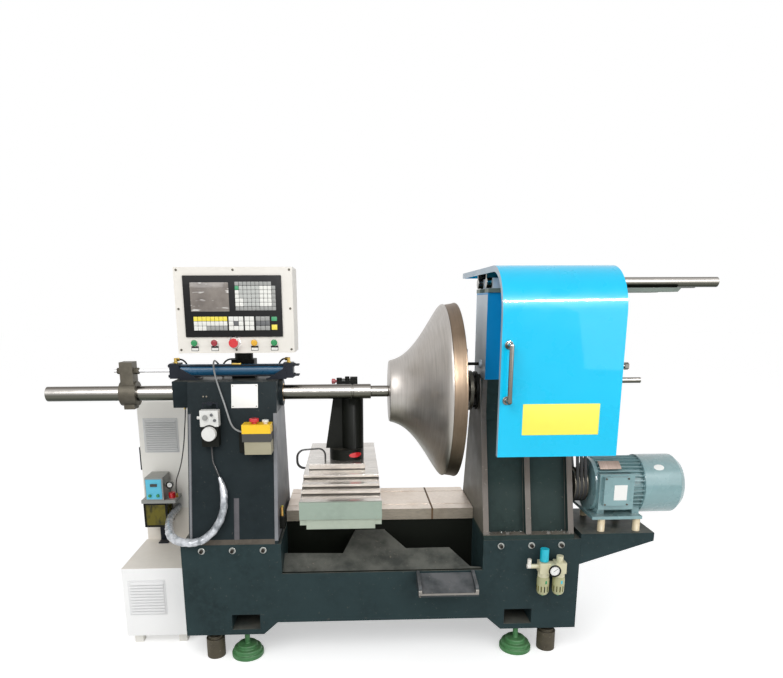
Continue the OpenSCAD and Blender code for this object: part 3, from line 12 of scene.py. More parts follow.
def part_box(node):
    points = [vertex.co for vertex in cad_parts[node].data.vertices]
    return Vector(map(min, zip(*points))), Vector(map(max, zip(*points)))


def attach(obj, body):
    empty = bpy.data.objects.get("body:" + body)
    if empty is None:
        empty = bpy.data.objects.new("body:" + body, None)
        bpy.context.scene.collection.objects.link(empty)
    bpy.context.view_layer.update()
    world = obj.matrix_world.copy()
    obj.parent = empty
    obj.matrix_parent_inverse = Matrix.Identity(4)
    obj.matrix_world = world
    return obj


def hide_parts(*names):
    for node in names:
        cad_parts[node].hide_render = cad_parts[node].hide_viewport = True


bl_info = {
    "name": "Metal spinning lathe",
    "version": (1, 0, 0),
    "blender": (4, 5, 0),
    "location": "3D View > Sidebar > Lathe",
    "description": "Paints and details a metal spinning lathe with its guard, controls and drive",
    "category": "Object",
}

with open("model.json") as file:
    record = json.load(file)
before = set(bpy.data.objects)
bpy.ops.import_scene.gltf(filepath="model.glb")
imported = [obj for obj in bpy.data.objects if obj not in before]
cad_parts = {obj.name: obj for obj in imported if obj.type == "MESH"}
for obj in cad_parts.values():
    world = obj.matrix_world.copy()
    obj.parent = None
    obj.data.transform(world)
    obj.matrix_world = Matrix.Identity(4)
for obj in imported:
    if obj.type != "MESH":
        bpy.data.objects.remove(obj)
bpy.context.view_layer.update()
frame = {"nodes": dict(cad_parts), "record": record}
MM = 0.001
# Ways out of the machine, FRONT being the way to the operator
FRONT, UP, LEFT, RIGHT = (0, -1, 0), (0, 0, 1), (-1, 0, 0), (1, 0, 0)


def centre_of(node):
    """Middle of a node's box in metres."""
    low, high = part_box(node)
    return (np.array(low) + np.array(high)) / 2


# The machine's own origin: the bed's middle along the spindle, the spindle's axis in depth, and the floor
BED_X, AXIS_Y = centre_of("bed")[0], centre_of("quill")[1]


def at(x, y, z):
    """Point x mm from the bed's middle, y mm behind the spindle's axis and z mm above the floor."""
    return np.array([BED_X + x * MM, AXIS_Y + y * MM, z * MM])


def in_mm(point):
    """The same three lengths of a point in metres."""
    return (point[0] - BED_X) / MM, (point[1] - AXIS_Y) / MM, point[2] / MM


class Span:
    """A node's box in mm from the machine's origin: its lowest and highest corners and its middle."""

    def __init__(self, node):
        self.lo, self.hi = (np.array(in_mm(corner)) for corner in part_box(node))
        self.mid = (self.lo + self.hi) / 2


SPAN = {name: Span(name) for name in frame["nodes"]}
BODY_OF = {
    node: body
    for body, nodes in frame["record"]["behaviour"]["bodies"].items()
    for node in nodes
}


# Shapes: each is an array of points and a list of faces


def grid_faces(rows, columns, close_rows=False, close_columns=False):
    """Quads between neighbours of a grid, which may close on itself either way."""
    i, j = np.meshgrid(
        np.arange(rows if close_rows else rows - 1),
        np.arange(columns if close_columns else columns - 1),
        indexing="ij",
    )
    up, right = (i + 1) % rows, (j + 1) % columns
    corners = [i * columns + j, up * columns + j, up * columns + right, i * columns + right]
    return np.stack(corners, -1).reshape(-1, 4).tolist()


def skin(points, close_rows=False, caps=True):
    """Closed surface over a grid of rings: rings side by side, with a flat cap on each end."""
    rows, columns = points.shape[:2]
    faces = grid_faces(rows, columns, close_rows, True)
    if caps and not close_rows:
        faces.append(list(range(columns))[::-1])
        faces.append([(rows - 1) * columns + k for k in range(columns)])
    return points.reshape(-1, 3), faces


def basis(axis):
    """Two unit vectors across an axis."""
    n = np.asarray(axis, float)
    n = n / np.linalg.norm(n)
    side = np.array([0, 0, 1.0]) if abs(n[2]) < 0.9 else np.array([1.0, 0, 0])
    u = np.cross(side, n)
    u = u / np.linalg.norm(u)
    return n, u, np.cross(n, u)


def revolve(profile, centre, axis, steps=48, closed=False):
    """Profile of radius and distance in mm, turned about an axis: p = c + n*t + r*(u*cos a + v*sin a)."""
    n, u, v = basis(axis)
    r, t = np.array(profile, float).T * MM
    a = np.linspace(0, 2 * math.pi, steps, endpoint=False)
    ring = np.cos(a)[None, :, None] * u + np.sin(a)[None, :, None] * v
    points = np.asarray(centre) + t[:, None, None] * n + r[:, None, None] * ring
    return skin(points, close_rows=closed)


# Radius in mm at which the profile of a solid piece starts and ends, next to its axis
CORE = 0.01


def bar(start, end, diameter, edge=0.6, steps=32):
    """Round bar between two points, its diameter and edge in mm: a revolved rectangle with cut corners."""
    axis = np.asarray(end) - np.asarray(start)
    length, r = np.linalg.norm(axis) / MM, diameter / 2
    e = min(edge, r * 0.5, length * 0.4)
    profile = [(CORE, 0), (r - e, 0), (r, e), (r, length - e), (r - e, length), (CORE, length)]
    return revolve(profile, start, axis, steps)


def round_outline(half_u, half_v, corner):
    """Rounded rectangle: four quarter circles at the corners of a smaller one."""
    corner = min(corner, half_u * 0.999, half_v * 0.999)
    a = np.linspace(0, math.pi / 2, 5)
    quarters = []
    for k, (su, sv) in enumerate([(1, 1), (-1, 1), (-1, -1), (1, -1)]):
        turn = a + k * math.pi / 2
        u = su * (half_u - corner) + corner * np.cos(turn)
        v = sv * (half_v - corner) + corner * np.sin(turn)
        quarters.append(np.stack([u, v], -1))
    return np.concatenate(quarters)


def slab(low, high, axis=1, corner=2.0, edge=1.0):
    """Plate between two corners in mm, rounded in outline by corner and on its faces by edge."""
    low, high = at(*low), at(*high)
    low, high = np.minimum(low, high), np.maximum(low, high)
    others = [k for k in range(3) if k != axis]
    half = (high - low)[others] / 2
    middle = (high + low) / 2
    depth = high[axis] - low[axis]
    e = min(edge * MM, depth * 0.45, half.min() * 0.45)
    a = np.linspace(0, math.pi / 2, 4)
    insets = np.concatenate([e * (1 - np.sin(a)), e * (1 - np.cos(a))])
    heights = np.concatenate([e * (1 - np.cos(a)), depth - e * (1 - np.sin(a))])
    rings = []
    for inset, height in zip(insets, heights):
        outline = round_outline(half[0] - inset, half[1] - inset, max(corner * MM - inset, 1e-5))
        ring = np.zeros((len(outline), 3))
        ring[:, others] = outline + middle[others]
        ring[:, axis] = low[axis] + height
        rings.append(ring)
    return skin(np.array(rings))


def spline(points, steps=8):
    """Smooth curve through points: the cubic that passes each point along the line of its neighbours."""
    p = np.asarray(points, float)
    p = np.concatenate([2 * p[:1] - p[1:2], p, 2 * p[-1:] - p[-2:-1]])
    t = np.linspace(0, 1, steps, endpoint=False)[:, None]
    a, b, c, d = p[:-3, None], p[1:-2, None], p[2:-1, None], p[3:, None]
    curve = 0.5 * (2 * b + (c - a) * t + (2 * a - 5 * b + 4 * c - d) * t**2 + (3 * b - a - 3 * c + d) * t**3)
    return np.concatenate([curve.reshape(-1, 3), p[-2:-1]])


def filleted(corners, radius, steps=9):
    """Path of straight stretches with a circle's arc of one radius at each corner."""
    corners = [np.asarray(p, float) for p in corners]
    path = [corners[0]]
    for before, corner, after in zip(corners[:-2], corners[1:-1], corners[2:]):
        u = (before - corner) / np.linalg.norm(before - corner)
        v = (after - corner) / np.linalg.norm(after - corner)
        half = math.acos(float(np.dot(u, v))) / 2
        middle = corner + (u + v) / np.linalg.norm(u + v) * radius / math.sin(half)
        side = (u + v) / np.linalg.norm(u + v)
        across = (v - u) / np.linalg.norm(v - u)
        reach = math.pi / 2 - half
        for a in np.linspace(-reach, reach, steps):
            path.append(middle + radius * (across * math.sin(a) - side * math.cos(a)))
    return np.array(path + [corners[-1]])


def sweep(path, radius, sides=12, ripple=None):
    """Tube along a path: a circle carried without twist; ripple gives a factor per ring and side."""
    path = np.asarray(path)
    tangent = np.gradient(path, axis=0)
    tangent /= np.linalg.norm(tangent, axis=1)[:, None]
    normals = [basis(tangent[0])[1]]
    for before, now in zip(tangent[:-1], tangent[1:]):
        n = normals[-1] - now * np.dot(normals[-1], now)
        normals.append(n / np.linalg.norm(n))
    u = np.array(normals)
    v = np.cross(tangent, u)
    a = np.linspace(0, 2 * math.pi, sides, endpoint=False)
    r = np.broadcast_to(np.asarray(radius, float).reshape(-1, 1), (len(path), 1)) * np.ones((1, sides))
    if ripple is not None:
        r = r * ripple
    ring = u[:, None] * np.cos(a)[None, :, None] + v[:, None] * np.sin(a)[None, :, None]
    return skin(path[:, None] + r[..., None] * ring)


def arc_plate(centre, axis, zero, radii, angles, span, oval=False, steps=17):
    """Plate bent round an axis: p = c + n*t + r*(u*cos a + v*sin a), a between two angles in degrees.

    An oval one narrows along t as the height of an ellipse over a.
    """
    n = np.asarray(axis, float)
    u = np.asarray(zero, float)
    v = np.cross(n, u)
    s = np.linspace(-1, 1, steps)
    a = np.radians(angles[0] + (angles[1] - angles[0]) * (s + 1) / 2)
    half = (span[1] - span[0]) / 2 * (np.sqrt(np.clip(1.0004 - s**2, 0, 1)) if oval else np.ones(steps))
    middle = (span[0] + span[1]) / 2
    rings = []
    for r, side in ((radii[0], -1), (radii[1], -1), (radii[1], 1), (radii[0], 1)):
        out = np.cos(a)[:, None] * u + np.sin(a)[:, None] * v
        rings.append(np.asarray(centre) + ((middle + side * half)[:, None] * n + r * out) * MM)
    return skin(np.stack(rings, 1))


def turned_about(shape, centre, degrees):
    """A shape turned about the upright line through a point."""
    a = math.radians(degrees)
    turn = np.array([[math.cos(a), -math.sin(a), 0], [math.sin(a), math.cos(a), 0], [0, 0, 1]])
    return (shape[0] - centre) @ turn.T + centre, shape[1]


def disc(radius, depth, seat, axis, edge=0.5, steps=32):
    """Flat round plate on a seat, with a softened rim; lengths in mm."""
    profile = [(CORE, 0), (radius, 0), (radius, depth - edge), (radius - edge, depth), (CORE, depth)]
    return revolve(profile, seat, axis, steps)


def hex_bolt(seat, axis, size, height):
    """Hexagon head on its washer, standing on a seat; size is across the corners in mm."""
    wide, thick = size * 0.62, 1.6
    washer = revolve([(CORE, 0), (wide, 0), (wide, thick), (CORE, thick)], seat, axis, 24)
    top = np.asarray(seat) + basis(axis)[0] * thick * MM
    head = [(CORE, 0), (size / 2, 0), (size / 2, height - 1), (size * 0.42, height), (CORE, height)]
    return [washer, revolve(head, top, axis, 6)]


def socket_screw(seat, axis, size):
    """Cap screw: a round head with a hollow in it, standing on a seat; size is the head in mm."""
    r, h = size / 2, size * 0.62
    profile = [(CORE, 0), (r, 0), (r, h - 1), (r - 1, h), (r * 0.52, h), (r * 0.5, h * 0.4), (CORE, h * 0.4)]
    return revolve(profile, seat, axis, 18)


def gauge(centre, rim, steps, face, needle):
    """Dial that looks at the operator: a rim of some profile, a pale face and a needle; lengths in mm."""
    start, end, width = needle
    return [
        ("matt_black", revolve(rim, centre, FRONT, steps, closed=True)),
        ("plate_white", disc(*face, centre, FRONT, 0.2)),
        ("key_dark", bar(centre + np.array(start) * MM, centre + np.array(end) * MM, width, 0.2, 6)),
    ]


# Objects


def in_scene(name, mesh, body, node, angle):
    """An object that rides on a body, smooth where it turns by less than angle, and may replace a node."""
    obj = bpy.data.objects.new(name, mesh)
    bpy.context.scene.collection.objects.link(obj)
    mesh.shade_smooth()
    mesh.set_sharp_from_angle(angle=math.radians(angle))
    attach(obj, body)
    if node:
        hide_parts(node)
    return obj


def merged(mesh, distance):
    """A mesh opened for work, with doubles merged and faces turned outwards."""
    bm = bmesh.new()
    bm.from_mesh(mesh)
    bmesh.ops.remove_doubles(bm, verts=bm.verts, dist=distance)
    bmesh.ops.recalc_face_normals(bm, faces=bm.faces)
    return bm


def build(name, shapes, body="base", node=None):
    """One object from (finish, shape) pairs, riding on a body or standing for a node."""
    points, faces, marks, finishes = [], [], [], []
    start = 0
    for finish, (corners, sides) in shapes:
        if finish not in finishes:
            finishes.append(finish)
        points.append(corners)
        faces.extend([[k + start for k in face] for face in sides])
        marks.extend([finishes.index(finish)] * len(sides))
        start += len(corners)
    mesh = bpy.data.meshes.new(name)
    mesh.from_pydata(np.concatenate(points).tolist(), [], faces)
    for finish in finishes:
        mesh.materials.append(material(finish))
    mesh.polygons.foreach_set("material_index", marks)
    bm = merged(mesh, 2e-6)
    bm.to_mesh(mesh)
    bm.free()
    return in_scene(name, mesh, BODY_OF[node] if node else body, node, 34)


def in_zone(face, low, high, facing):
    """Whether a face's middle lies in a box of two corners, and it looks the way asked for."""
    middle = np.array(face.calc_center_median())
    inside = (middle >= low - 1e-5).all() and (middle <= high + 1e-5).all()
    return inside and (facing is None or np.dot(face.normal, facing) > 0.7)


def dress(node, finish, edge=1.0, zones=()):
    """A node's own shape with merged faces, edges rounded by so many mm, and a finish.

    A zone is a finish, two corners of a box and at will a direction: the shape is cut along the box's
    sides, and the faces in it that look that way take the zone's finish.
    """
    mesh = frame["nodes"][node].data.copy()
    bm = merged(mesh, 1e-5)
    mesh.materials.clear()
    mesh.materials.append(material(finish))
    for k, (zone_finish, low, high, *facing) in enumerate(zones):
        mesh.materials.append(material(zone_finish))
        low, high = at(*low), at(*high)
        for corner in (low, high):
            for side in np.eye(3):
                geometry = bm.verts[:] + bm.edges[:] + bm.faces[:]
                bmesh.ops.bisect_plane(bm, geom=geometry, plane_co=corner, plane_no=side, dist=1e-6)
        for face in bm.faces:
            if in_zone(face, low, high, facing[0] if facing else None):
                face.material_index = k + 1
    flat = math.radians(0.4)
    bmesh.ops.dissolve_limit(bm, angle_limit=flat, verts=bm.verts, edges=bm.edges, delimit={"MATERIAL"})
    bm.to_mesh(mesh)
    bm.free()
    mesh.name = node + "_dressed"
    obj = in_scene(mesh.name, mesh, BODY_OF[node], node, 32)
    if edge:
        bevel = obj.modifiers.new("edges", "BEVEL")
        bevel.width = edge * MM
        bevel.segments = 2
        bevel.limit_method = "ANGLE"
        bevel.angle_limit = math.radians(32)
        bevel.harden_normals = True


def dress_each(*rows):
    """Dresses nodes that have one finish each."""
    for node, finish, edge in rows:
        dress(node, finish, edge)


# Finishes


def screen(r, g, b):
    """Linear colour of screen values from 0 to 255."""
    c = np.array([r, g, b]) / 255
    linear = np.where(c <= 0.04045, c / 12.92, ((c + 0.055) / 1.055) ** 2.4)
    return (*[float(x) for x in linear], 1.0)


class Tree:
    """Adds nodes to a node tree."""

    def __init__(self, tree):
        self.nodes, self.links = tree.nodes, tree.links

    def feed(self, socket, value):
        """Links a socket to another, or gives it a plain value."""
        if isinstance(value, bpy.types.NodeSocket):
            self.links.new(value, socket)
        else:
            socket.default_value = value

    def node(self, kind, **values):
        """New node with values or links on its sockets."""
        node = self.nodes.new("ShaderNode" + kind)
        for key, value in values.items():
            self.feed(node.inputs[key.replace("_", " ")], value)
        return node

    def math(self, operation, a, b, clamp=False):
        node = self.node("Math")
        node.operation, node.use_clamp = operation, clamp
        self.feed(node.inputs[0], a)
        self.feed(node.inputs[1], b)
        return node.outputs["Value"]

    def seen(self):
        """One for what the camera sees, straight or through metal and glass, and nothing for the light itself."""
        rays = self.node("LightPath").outputs
        total = rays["Is Camera Ray"]
        for ray in ("Is Glossy Ray", "Is Transmission Ray"):
            total = self.math("ADD", total, rays[ray], True)
        return total


class Finish(Tree):
    """Builds a material's nodes around one shader."""

    def __init__(self, name, rough, metal=0.0, coat=0.0, shine=0.5):
        self.mat = bpy.data.materials.new(name)
        self.mat.use_nodes = True
        super().__init__(self.mat.node_tree)
        shader = self.nodes["Principled BSDF"]
        self.sockets = shader.inputs
        for key, value in (
            ("Roughness", rough), ("Metallic", metal), ("Coat Weight", coat), ("Specular IOR Level", shine)
        ):
            self.sockets[key].default_value = value
        self.place = self.node("TexCoord").outputs["Object"]

    def noise(self, scale, stretch=(1, 1, 1), detail=4.0, rough=0.55):
        mapping = self.node("Mapping", Scale=stretch, Vector=self.place)
        noise = self.node("TexNoise", Scale=scale, Detail=detail, Roughness=rough, Vector=mapping.outputs["Vector"])
        return noise.outputs["Fac"]

    def between(self, value, low, high, start=0.0, end=1.0):
        """Value mapped from low..high to start..end, and held inside it."""
        node = self.node("MapRange", From_Min=low, From_Max=high, To_Min=start, To_Max=end, Value=value)
        return node.outputs["Result"]

    def times(self, a, b):
        return self.math("MULTIPLY", a, b)

    def blend(self, share, first, second):
        """Colour that goes from first to second with share."""
        node = self.node("Mix")
        node.data_type = "RGBA"
        self.feed(node.inputs["Factor"], share)
        for key, value in (("A", first), ("B", second)):
            self.feed(next(s for s in node.inputs if s.name == key and s.type == "RGBA"), value)
        return next(s for s in node.outputs if s.type == "RGBA")

    def upward(self):
        """How far a face looks up."""
        normal = self.node("NewGeometry").outputs["Normal"]
        return self.node("SeparateXYZ", Vector=normal).outputs["Z"]

    def colour(self, value):
        self.feed(self.sockets["Base Color"], value)

    def roughness(self, value):
        self.feed(self.sockets["Roughness"], value)

    def bump(self, height, strength, distance=0.001):
        node = self.node("Bump", Strength=strength, Distance=distance, Height=height)
        self.feed(self.sockets["Normal"], node.outputs["Normal"])


def shade(colour, factor):
    """A darker or lighter tone of a colour."""
    return (*[min(1.0, c * factor) for c in colour[:3]], 1.0)


def painted(
    name, colour, rough=0.42, mottle=0.16, shine=0.5, dust=0.0, chips=0.0,
    grain=(260, 0.12), dust_tone=(128, 122, 110), coat=0.0, metal=0.0,
):
    """Painted surface: soft mottling, a fine grain, dust on what faces up, which on the cabinet's top is painted shade,
    and small chips.
    """
    f = Finish(name, rough, metal, coat, shine)
    tone = f.blend(f.between(f.noise(4.5), 0.3, 0.7), shade(colour, 1 - mottle), shade(colour, 1 + mottle))
    tone = f.blend(f.between(f.noise(38, detail=3), 0.35, 0.75), tone, shade(colour, 1 + mottle * 0.5))
    worn = f.between(f.noise(9), 0.3, 0.7, rough - 0.08, min(1, rough + 0.1))
    # Dust on what faces up; on the cabinet's top the same layer paints shade patches
    if dust:
        layer = f.times(f.between(f.upward(), 0.55, 0.95), f.between(f.noise(11, detail=6), 0.34, 0.62, 0.25, 1.0))
        tone = f.blend(f.times(layer, dust), tone, screen(*dust_tone))
    if chips:
        spots = f.between(f.noise(70, detail=5), 0.66, 0.70)
        tone = f.blend(f.times(spots, chips), tone, screen(150, 140, 125))
    f.colour(tone)
    f.roughness(worn)
    scale, strength = grain
    f.bump(f.noise(scale, detail=2), strength, 0.0006)
    return f.mat


def turned(
    name, colour, rough=0.3, stain=(92, 78, 60), stain_share=0.3, lines=900.0, metal=1.0,
    across=(1, 0.02, 0.02), low=None, low_share=0.6,
):
    """Bare machined steel: fine lines across its length, soft stains, and painted shade and reflection as a tone that
    grows on what faces down.
    """
    f = Finish(name, rough, metal)
    line = f.noise(lines, across, detail=2)
    tone = f.blend(f.between(line, 0.3, 0.7), shade(colour, 0.86), shade(colour, 1.1))
    tone = f.blend(f.times(f.between(f.noise(7, detail=6), 0.45, 0.75), stain_share), tone, screen(*stain))
    # Painted shade and reflection: what faces down takes the low tone
    if low:
        tone = f.blend(f.times(f.between(f.upward(), 0.1, -0.85), low_share), tone, screen(*low))
    f.colour(tone)
    f.roughness(f.between(f.noise(16, detail=5), 0.3, 0.7, rough - 0.04, rough + 0.06))
    f.bump(line, 0.08, 0.0002)
    return f.mat


def round_bar(name, rough=0.2):
    """Polished round bar: a painted highlight along its upper side, grey in front and a painted dark green reflection
    below.
    """
    f = Finish(name, rough, 1.0)
    up = f.upward()
    # Painted reflection and highlight, set by how far each face looks up
    tone = f.blend(f.between(up, -0.75, -0.3), screen(32, 42, 32), screen(92, 92, 84))
    tone = f.blend(f.between(up, -0.1, 0.3), tone, screen(204, 200, 195))
    tone = f.blend(f.between(up, 0.55, 0.9), tone, screen(92, 86, 78))
    streak = f.between(f.noise(30, (0.04, 1, 1), detail=3), 0.3, 0.7, 0.0, 0.22)
    f.colour(f.blend(streak, tone, screen(96, 92, 84)))
    f.roughness(f.between(f.noise(24, detail=4), 0.3, 0.7, rough - 0.05, rough + 0.08))
    f.bump(f.noise(300, (1, 0.05, 0.05), detail=2), 0.05, 0.0002)
    return f.mat


def moulded(name, colour, rough=0.35, coat=0.15, mottle=0.05, shine=0.5):
    """Plastic or lacquer with a faint unevenness."""
    f = Finish(name, rough, 0.0, coat, shine)
    f.colour(f.blend(f.noise(20), shade(colour, 1 - mottle), shade(colour, 1 + mottle)))
    f.roughness(f.between(f.noise(60), 0.3, 0.7, rough - 0.05, rough + 0.08))
    f.bump(f.noise(500, detail=2), 0.05, 0.0003)
    return f.mat


def filmed_glass(name):
    """Display under a loose protective film: dull glass with pale creases, which are painted highlights."""
    f = Finish(name, 0.14, 0.0, 0.5)
    tone = f.blend(f.between(f.noise(14), 0.35, 0.65), screen(106, 98, 92), screen(134, 126, 118))
    crease = f.noise(9, (1, 1, 5.5), detail=3)
    # Painted highlights where the film creases
    painted_glint = f.times(f.between(crease, 0.60, 0.66), f.between(crease, 0.74, 0.69))
    f.colour(f.blend(f.times(painted_glint, 0.8), tone, screen(236, 234, 230)))
    f.bump(crease, 0.25, 0.002)
    return f.mat


def wrapped(name):
    """Crinkled silvery film."""
    f = Finish(name, 0.24, 0.35, 0.3)
    crinkle = f.noise(30, detail=4, rough=0.6)
    f.colour(f.blend(f.between(crinkle, 0.36, 0.62), screen(132, 137, 142), screen(206, 209, 214)))
    f.bump(crinkle, 0.8, 0.006)
    return f.mat


def oily(name):
    """Tank wall with oil behind it, yellow where light comes through."""
    f = Finish(name, 0.2, 0.0, 0.1, 0.2)
    f.colour(f.blend(f.between(f.noise(22, (1, 1, 0.5)), 0.42, 0.6), screen(16, 20, 4), screen(104, 96, 12)))
    return f.mat


# Red, green and blue on a screen, roughness, mottling, shine, share of dust (painted shade on the cabinet's top), share
# of chips, and the rest by name
PAINTED = {
    "bed_paint": (40, 55, 57, 0.4, 0.26, 0.1, 0.45, 0.1),
    "column_paint": (31, 40, 43, 0.4, 0.2, 0.08, 0.3, 0.08),
    "head_paint": (42, 56, 54, 0.42, 0.3, 0.08, 0.3, 0.12),
    "strip_light": (112, 114, 118, 0.5, 0.25, 0.5, 0.0, 0.5, {"grain": (120, 0.3)}),
    "gusset_grey": (88, 86, 90, 0.5, 0.2, 0.2, 0.0, 0.3),
    "rib_edge": (88, 80, 72, 0.5, 0.4, 0.5, 0.0, 0.5, {"grain": (120, 0.3)}),
    "rib_side": (96, 93, 84, 0.5, 0.2, 0.2, 0.0, 0.3, {"grain": (120, 0.2)}),
    "ledge_dust": (88, 82, 74, 0.7, 0.35, 0.1, 0.6, {"grain": (90, 0.5)}),
    "beam_grey": (104, 116, 107, 0.45, 0.15, 0.3, 0.2),
    # Near-black paint for the bed's inside: painted shade
    "well_black": (19, 22, 17, 0.6, 0.2, 0.05),
    "pan_sheet": (42, 46, 44, 0.6, 0.4, 0.15, 0.8, 0.4, {"grain": (120, 0.9), "dust_tone": (116, 117, 110)}),
    "tray_paint": (52, 58, 60, 0.5, 0.16, 0.2, 0.6, 0.5, {"dust_tone": (128, 128, 130)}),
    "edge_steel": (128, 124, 118, 0.45, 0.3, 0.5, 0.0, 0.4, {"metal": 0.3}),
    "jack_rust": (74, 68, 54, 0.6, 0.4, 0.3, 0.0, 0.3, {"grain": (140, 0.35)}),
    "pad_green": (62, 120, 68, 0.5, 0.3, 0.5, 0.15),
    "seam_brown": (104, 82, 60, 0.6, 0.3, 0.2),
    "step_dark": (52, 48, 42, 0.5, 0.3, 0.2),
    "barrel_blue": (28, 84, 118, 0.3, 0.1, 0.4, {"grain": (300, 0.04), "coat": 0.3}),
    "black_metal": (34, 38, 46, 0.4, 0.15, 0.15, 0.2),
    "matt_black": (18, 20, 16, 0.45, 0.2, 0.12, 0.15),
    "guard_blue": (0, 195, 238, 0.3, 0.03, 0.15, {"grain": (240, 0.03), "coat": 0.5}),
    # The housing's blue, darker than the guard's: painted shade from the guard
    "housing_blue": (4, 136, 196, 0.34, 0.06, 0.3, {"coat": 0.1}),
    "light_grey": (188, 200, 210, 0.4, 0.06, 0.5, 0.2),
    "guard_edge": (146, 168, 184, 0.35, 0.06, {"coat": 0.2}),
    "motor_green": (124, 158, 161, 0.26, 0.1, 0.5, 0.3, {"dust_tone": (190, 190, 186), "coat": 0.4}),
    "pale_green": (146, 162, 148, 0.45, 0.12, 0.5, 0.4, 0.4),
    "apron_green": (166, 176, 160, 0.45, 0.1, 0.5, 0.4, 0.3),
    "box_white": (226, 222, 214, 0.42, 0.04, 0.5, 0.2),
    "cabinet_cream": (238, 236, 229, 0.42, 0.04, 0.5, 0.15),
    "cabinet_white": (251, 251, 250, 0.42, 0.02),
    # Its dust layer paints brown shade patches on the sloping top
    "cabinet_top": (236, 230, 220, 0.42, 0.05, 0.5, 0.2, {"dust_tone": (206, 198, 184)}),
    "louvre_white": (236, 236, 236, 0.42, 0.03),
    "louvre_grey": (206, 207, 206, 0.42, 0.05, 0.5, 0.15),
    "lube_grey": (146, 148, 144, 0.4, 0.08, 0.5, 0.3),
    "air_cream": (206, 202, 170, 0.45, 0.08, 0.5, 0.2),
    "cream_spacer": (222, 204, 170, 0.5, 0.1),
}
# Red, green and blue on a screen, roughness, tone and share of stains, fineness of the lines, metal, the lines'
# stretch, and by name the tone and share of painted shade and reflection on what faces down
TURNED = {
    "screw_steel": (168, 170, 166, 0.35, (90, 84, 74), 0.3, 300, 0.8),
    "way_steel": (232, 220, 208, 0.42, (176, 150, 122), 0.4, 60, 0.75, (1, 6, 1)),
    # A darker copy of the way steel for the slideway's front faces: painted shade, with real brown stains
    "way_front": (140, 132, 118, 0.5, (96, 78, 56), 0.6, 40, 0.4, (1, 1, 4)),
    "bright_steel": (176, 172, 164, 0.24, (86, 74, 58), 0.45),
    # Its low tone is painted shade on what faces down
    "dark_steel": (92, 87, 76, 0.45, (54, 48, 38), 0.6, 60, 0.6, (1, 1, 1), {"low": (30, 30, 22)}),
    "bronze": (190, 150, 84, 0.35, (110, 80, 40)),
    "brass": (206, 176, 96, 0.3, (120, 96, 50), 0.3, 400),
    # Their low tones are a painted dark green reflection and painted shade on what faces down
    "spun_steel": (180, 175, 170, 0.36, (156, 146, 134), 0.3, 420, 0.95, {"low": (60, 74, 52), "low_share": 0.7}),
    "spun_band": (116, 100, 84, 0.42, (80, 64, 48), 0.6, 500, 0.85, {"low": (40, 42, 28), "low_share": 0.8}),
    "chrome": (222, 222, 224, 0.14, (150, 146, 140), 0.15, 500),
    "name_plate": (168, 150, 140, 0.4, (110, 96, 84), 0.3, 300),
    "saddle_steel": (212, 207, 201, 0.2, (164, 150, 134), 0.25, 50, 0.85, (0.2, 1, 1)),
}
# Red, green and blue on a screen, roughness, coat, mottling, shine
MOULDED = {
    "belt_rubber": (22, 22, 22, 0.7, 0.0, 0.2),
    "label_yellow": (246, 236, 84, 0.4),
    "plate_white": (238, 238, 234, 0.4),
    "face_black": (24, 24, 25, 0.4, 0.05, 0.1, 0.12),
    "key_grey": (146, 147, 144, 0.4),
    "key_pale": (178, 180, 176, 0.4),
    "key_dark": (84, 86, 88, 0.4),
    "key_white": (224, 224, 218, 0.4),
    "key_yellow": (232, 214, 66, 0.4),
    "key_green": (48, 148, 98),
    "lamp_green": (0, 138, 74, 0.18, 0.6),
    "lamp_red": (150, 14, 34, 0.18, 0.6),
    "lamp_yellow": (224, 168, 16, 0.18, 0.6),
    "mushroom_red": (206, 32, 40, 0.28, 0.4),
    "station_yellow": (242, 196, 8, 0.38),
    "station_grey": (46, 46, 42, 0.5),
    "station_beige": (156, 150, 124, 0.5),
    "pendant_white": (222, 222, 218, 0.42, 0.1, 0.08),
    "panel_blue": (92, 198, 228),
    "air_bowl": (172, 172, 128, 0.2, 0.4, 0.12),
    "knob_blue": (10, 186, 208),
    "cable_black": (20, 20, 20, 0.5, 0.1, 0.2),
    "cable_pale": (128, 130, 130, 0.4, 0.2, 0.1),
    "knob_pink": (180, 84, 88, 0.4),
}
# Finishes with a maker of their own
OTHERS = {
    # round_bar paints a highlight and a dark green reflection on the bar
    "polished_bar": round_bar,
    "screen_film": filmed_glass,
    "oil_tank": oily,
    "conduit_wrap": wrapped,
}
MADE = {}


def material(name):
    """The finish of that name, made on first use."""
    if name not in MADE:
        for maker, rows in ((painted, PAINTED), (turned, TURNED), (moulded, MOULDED)):
            if name in rows:
                *row, named = rows[name] if isinstance(rows[name][-1], dict) else (*rows[name], {})
                MADE[name] = maker(name, screen(*row[:3]), *row[3:], **named)
        if name in OTHERS:
            MADE[name] = OTHERS[name](name)
    return MADE[name]


# User's sizes


def number(label, text, start, low, high):
    return bpy.props.FloatProperty(name=label, description=text, default=start, min=low, max=high)


class LatheSizes(bpy.types.PropertyGroup):
    """Sizes that a user would change."""

    edge_mm: number("Edge rounding", "Rounding of castings and weldments in mm", 2.0, 0.2, 5.0)
    sheet_edge_mm: number("Sheet rounding", "Rounding of sheet-metal edges in mm", 0.8, 0.1, 2.0)
    key_light: number("Key light", "Strength of the main lamp", 75.0, 0.0, 500.0)
    surround: number("Surround", "Strength of the even light from all sides", 0.62, 0.0, 2.0)
    floor_tone: bpy.props.FloatVectorProperty(
        name="Floor", description="Tone of the floor", subtype="COLOR", default=(0.86, 0.86, 0.86), min=0.0, max=1.0
    )


def sizes():
    return bpy.context.scene.lathe_sizes


class Step:
    """A step that makes some of the pieces."""

    def execute(self, context):
        self.make()
        return {"FINISHED"}


# Cables


def from_column(points):
    """Points x mm right of the tailstock column's left face, as points from the bed's middle."""
    left = SPAN["tailstock_column"].lo[0]
    return [at(x + left, y, z) for x, y, z in points]


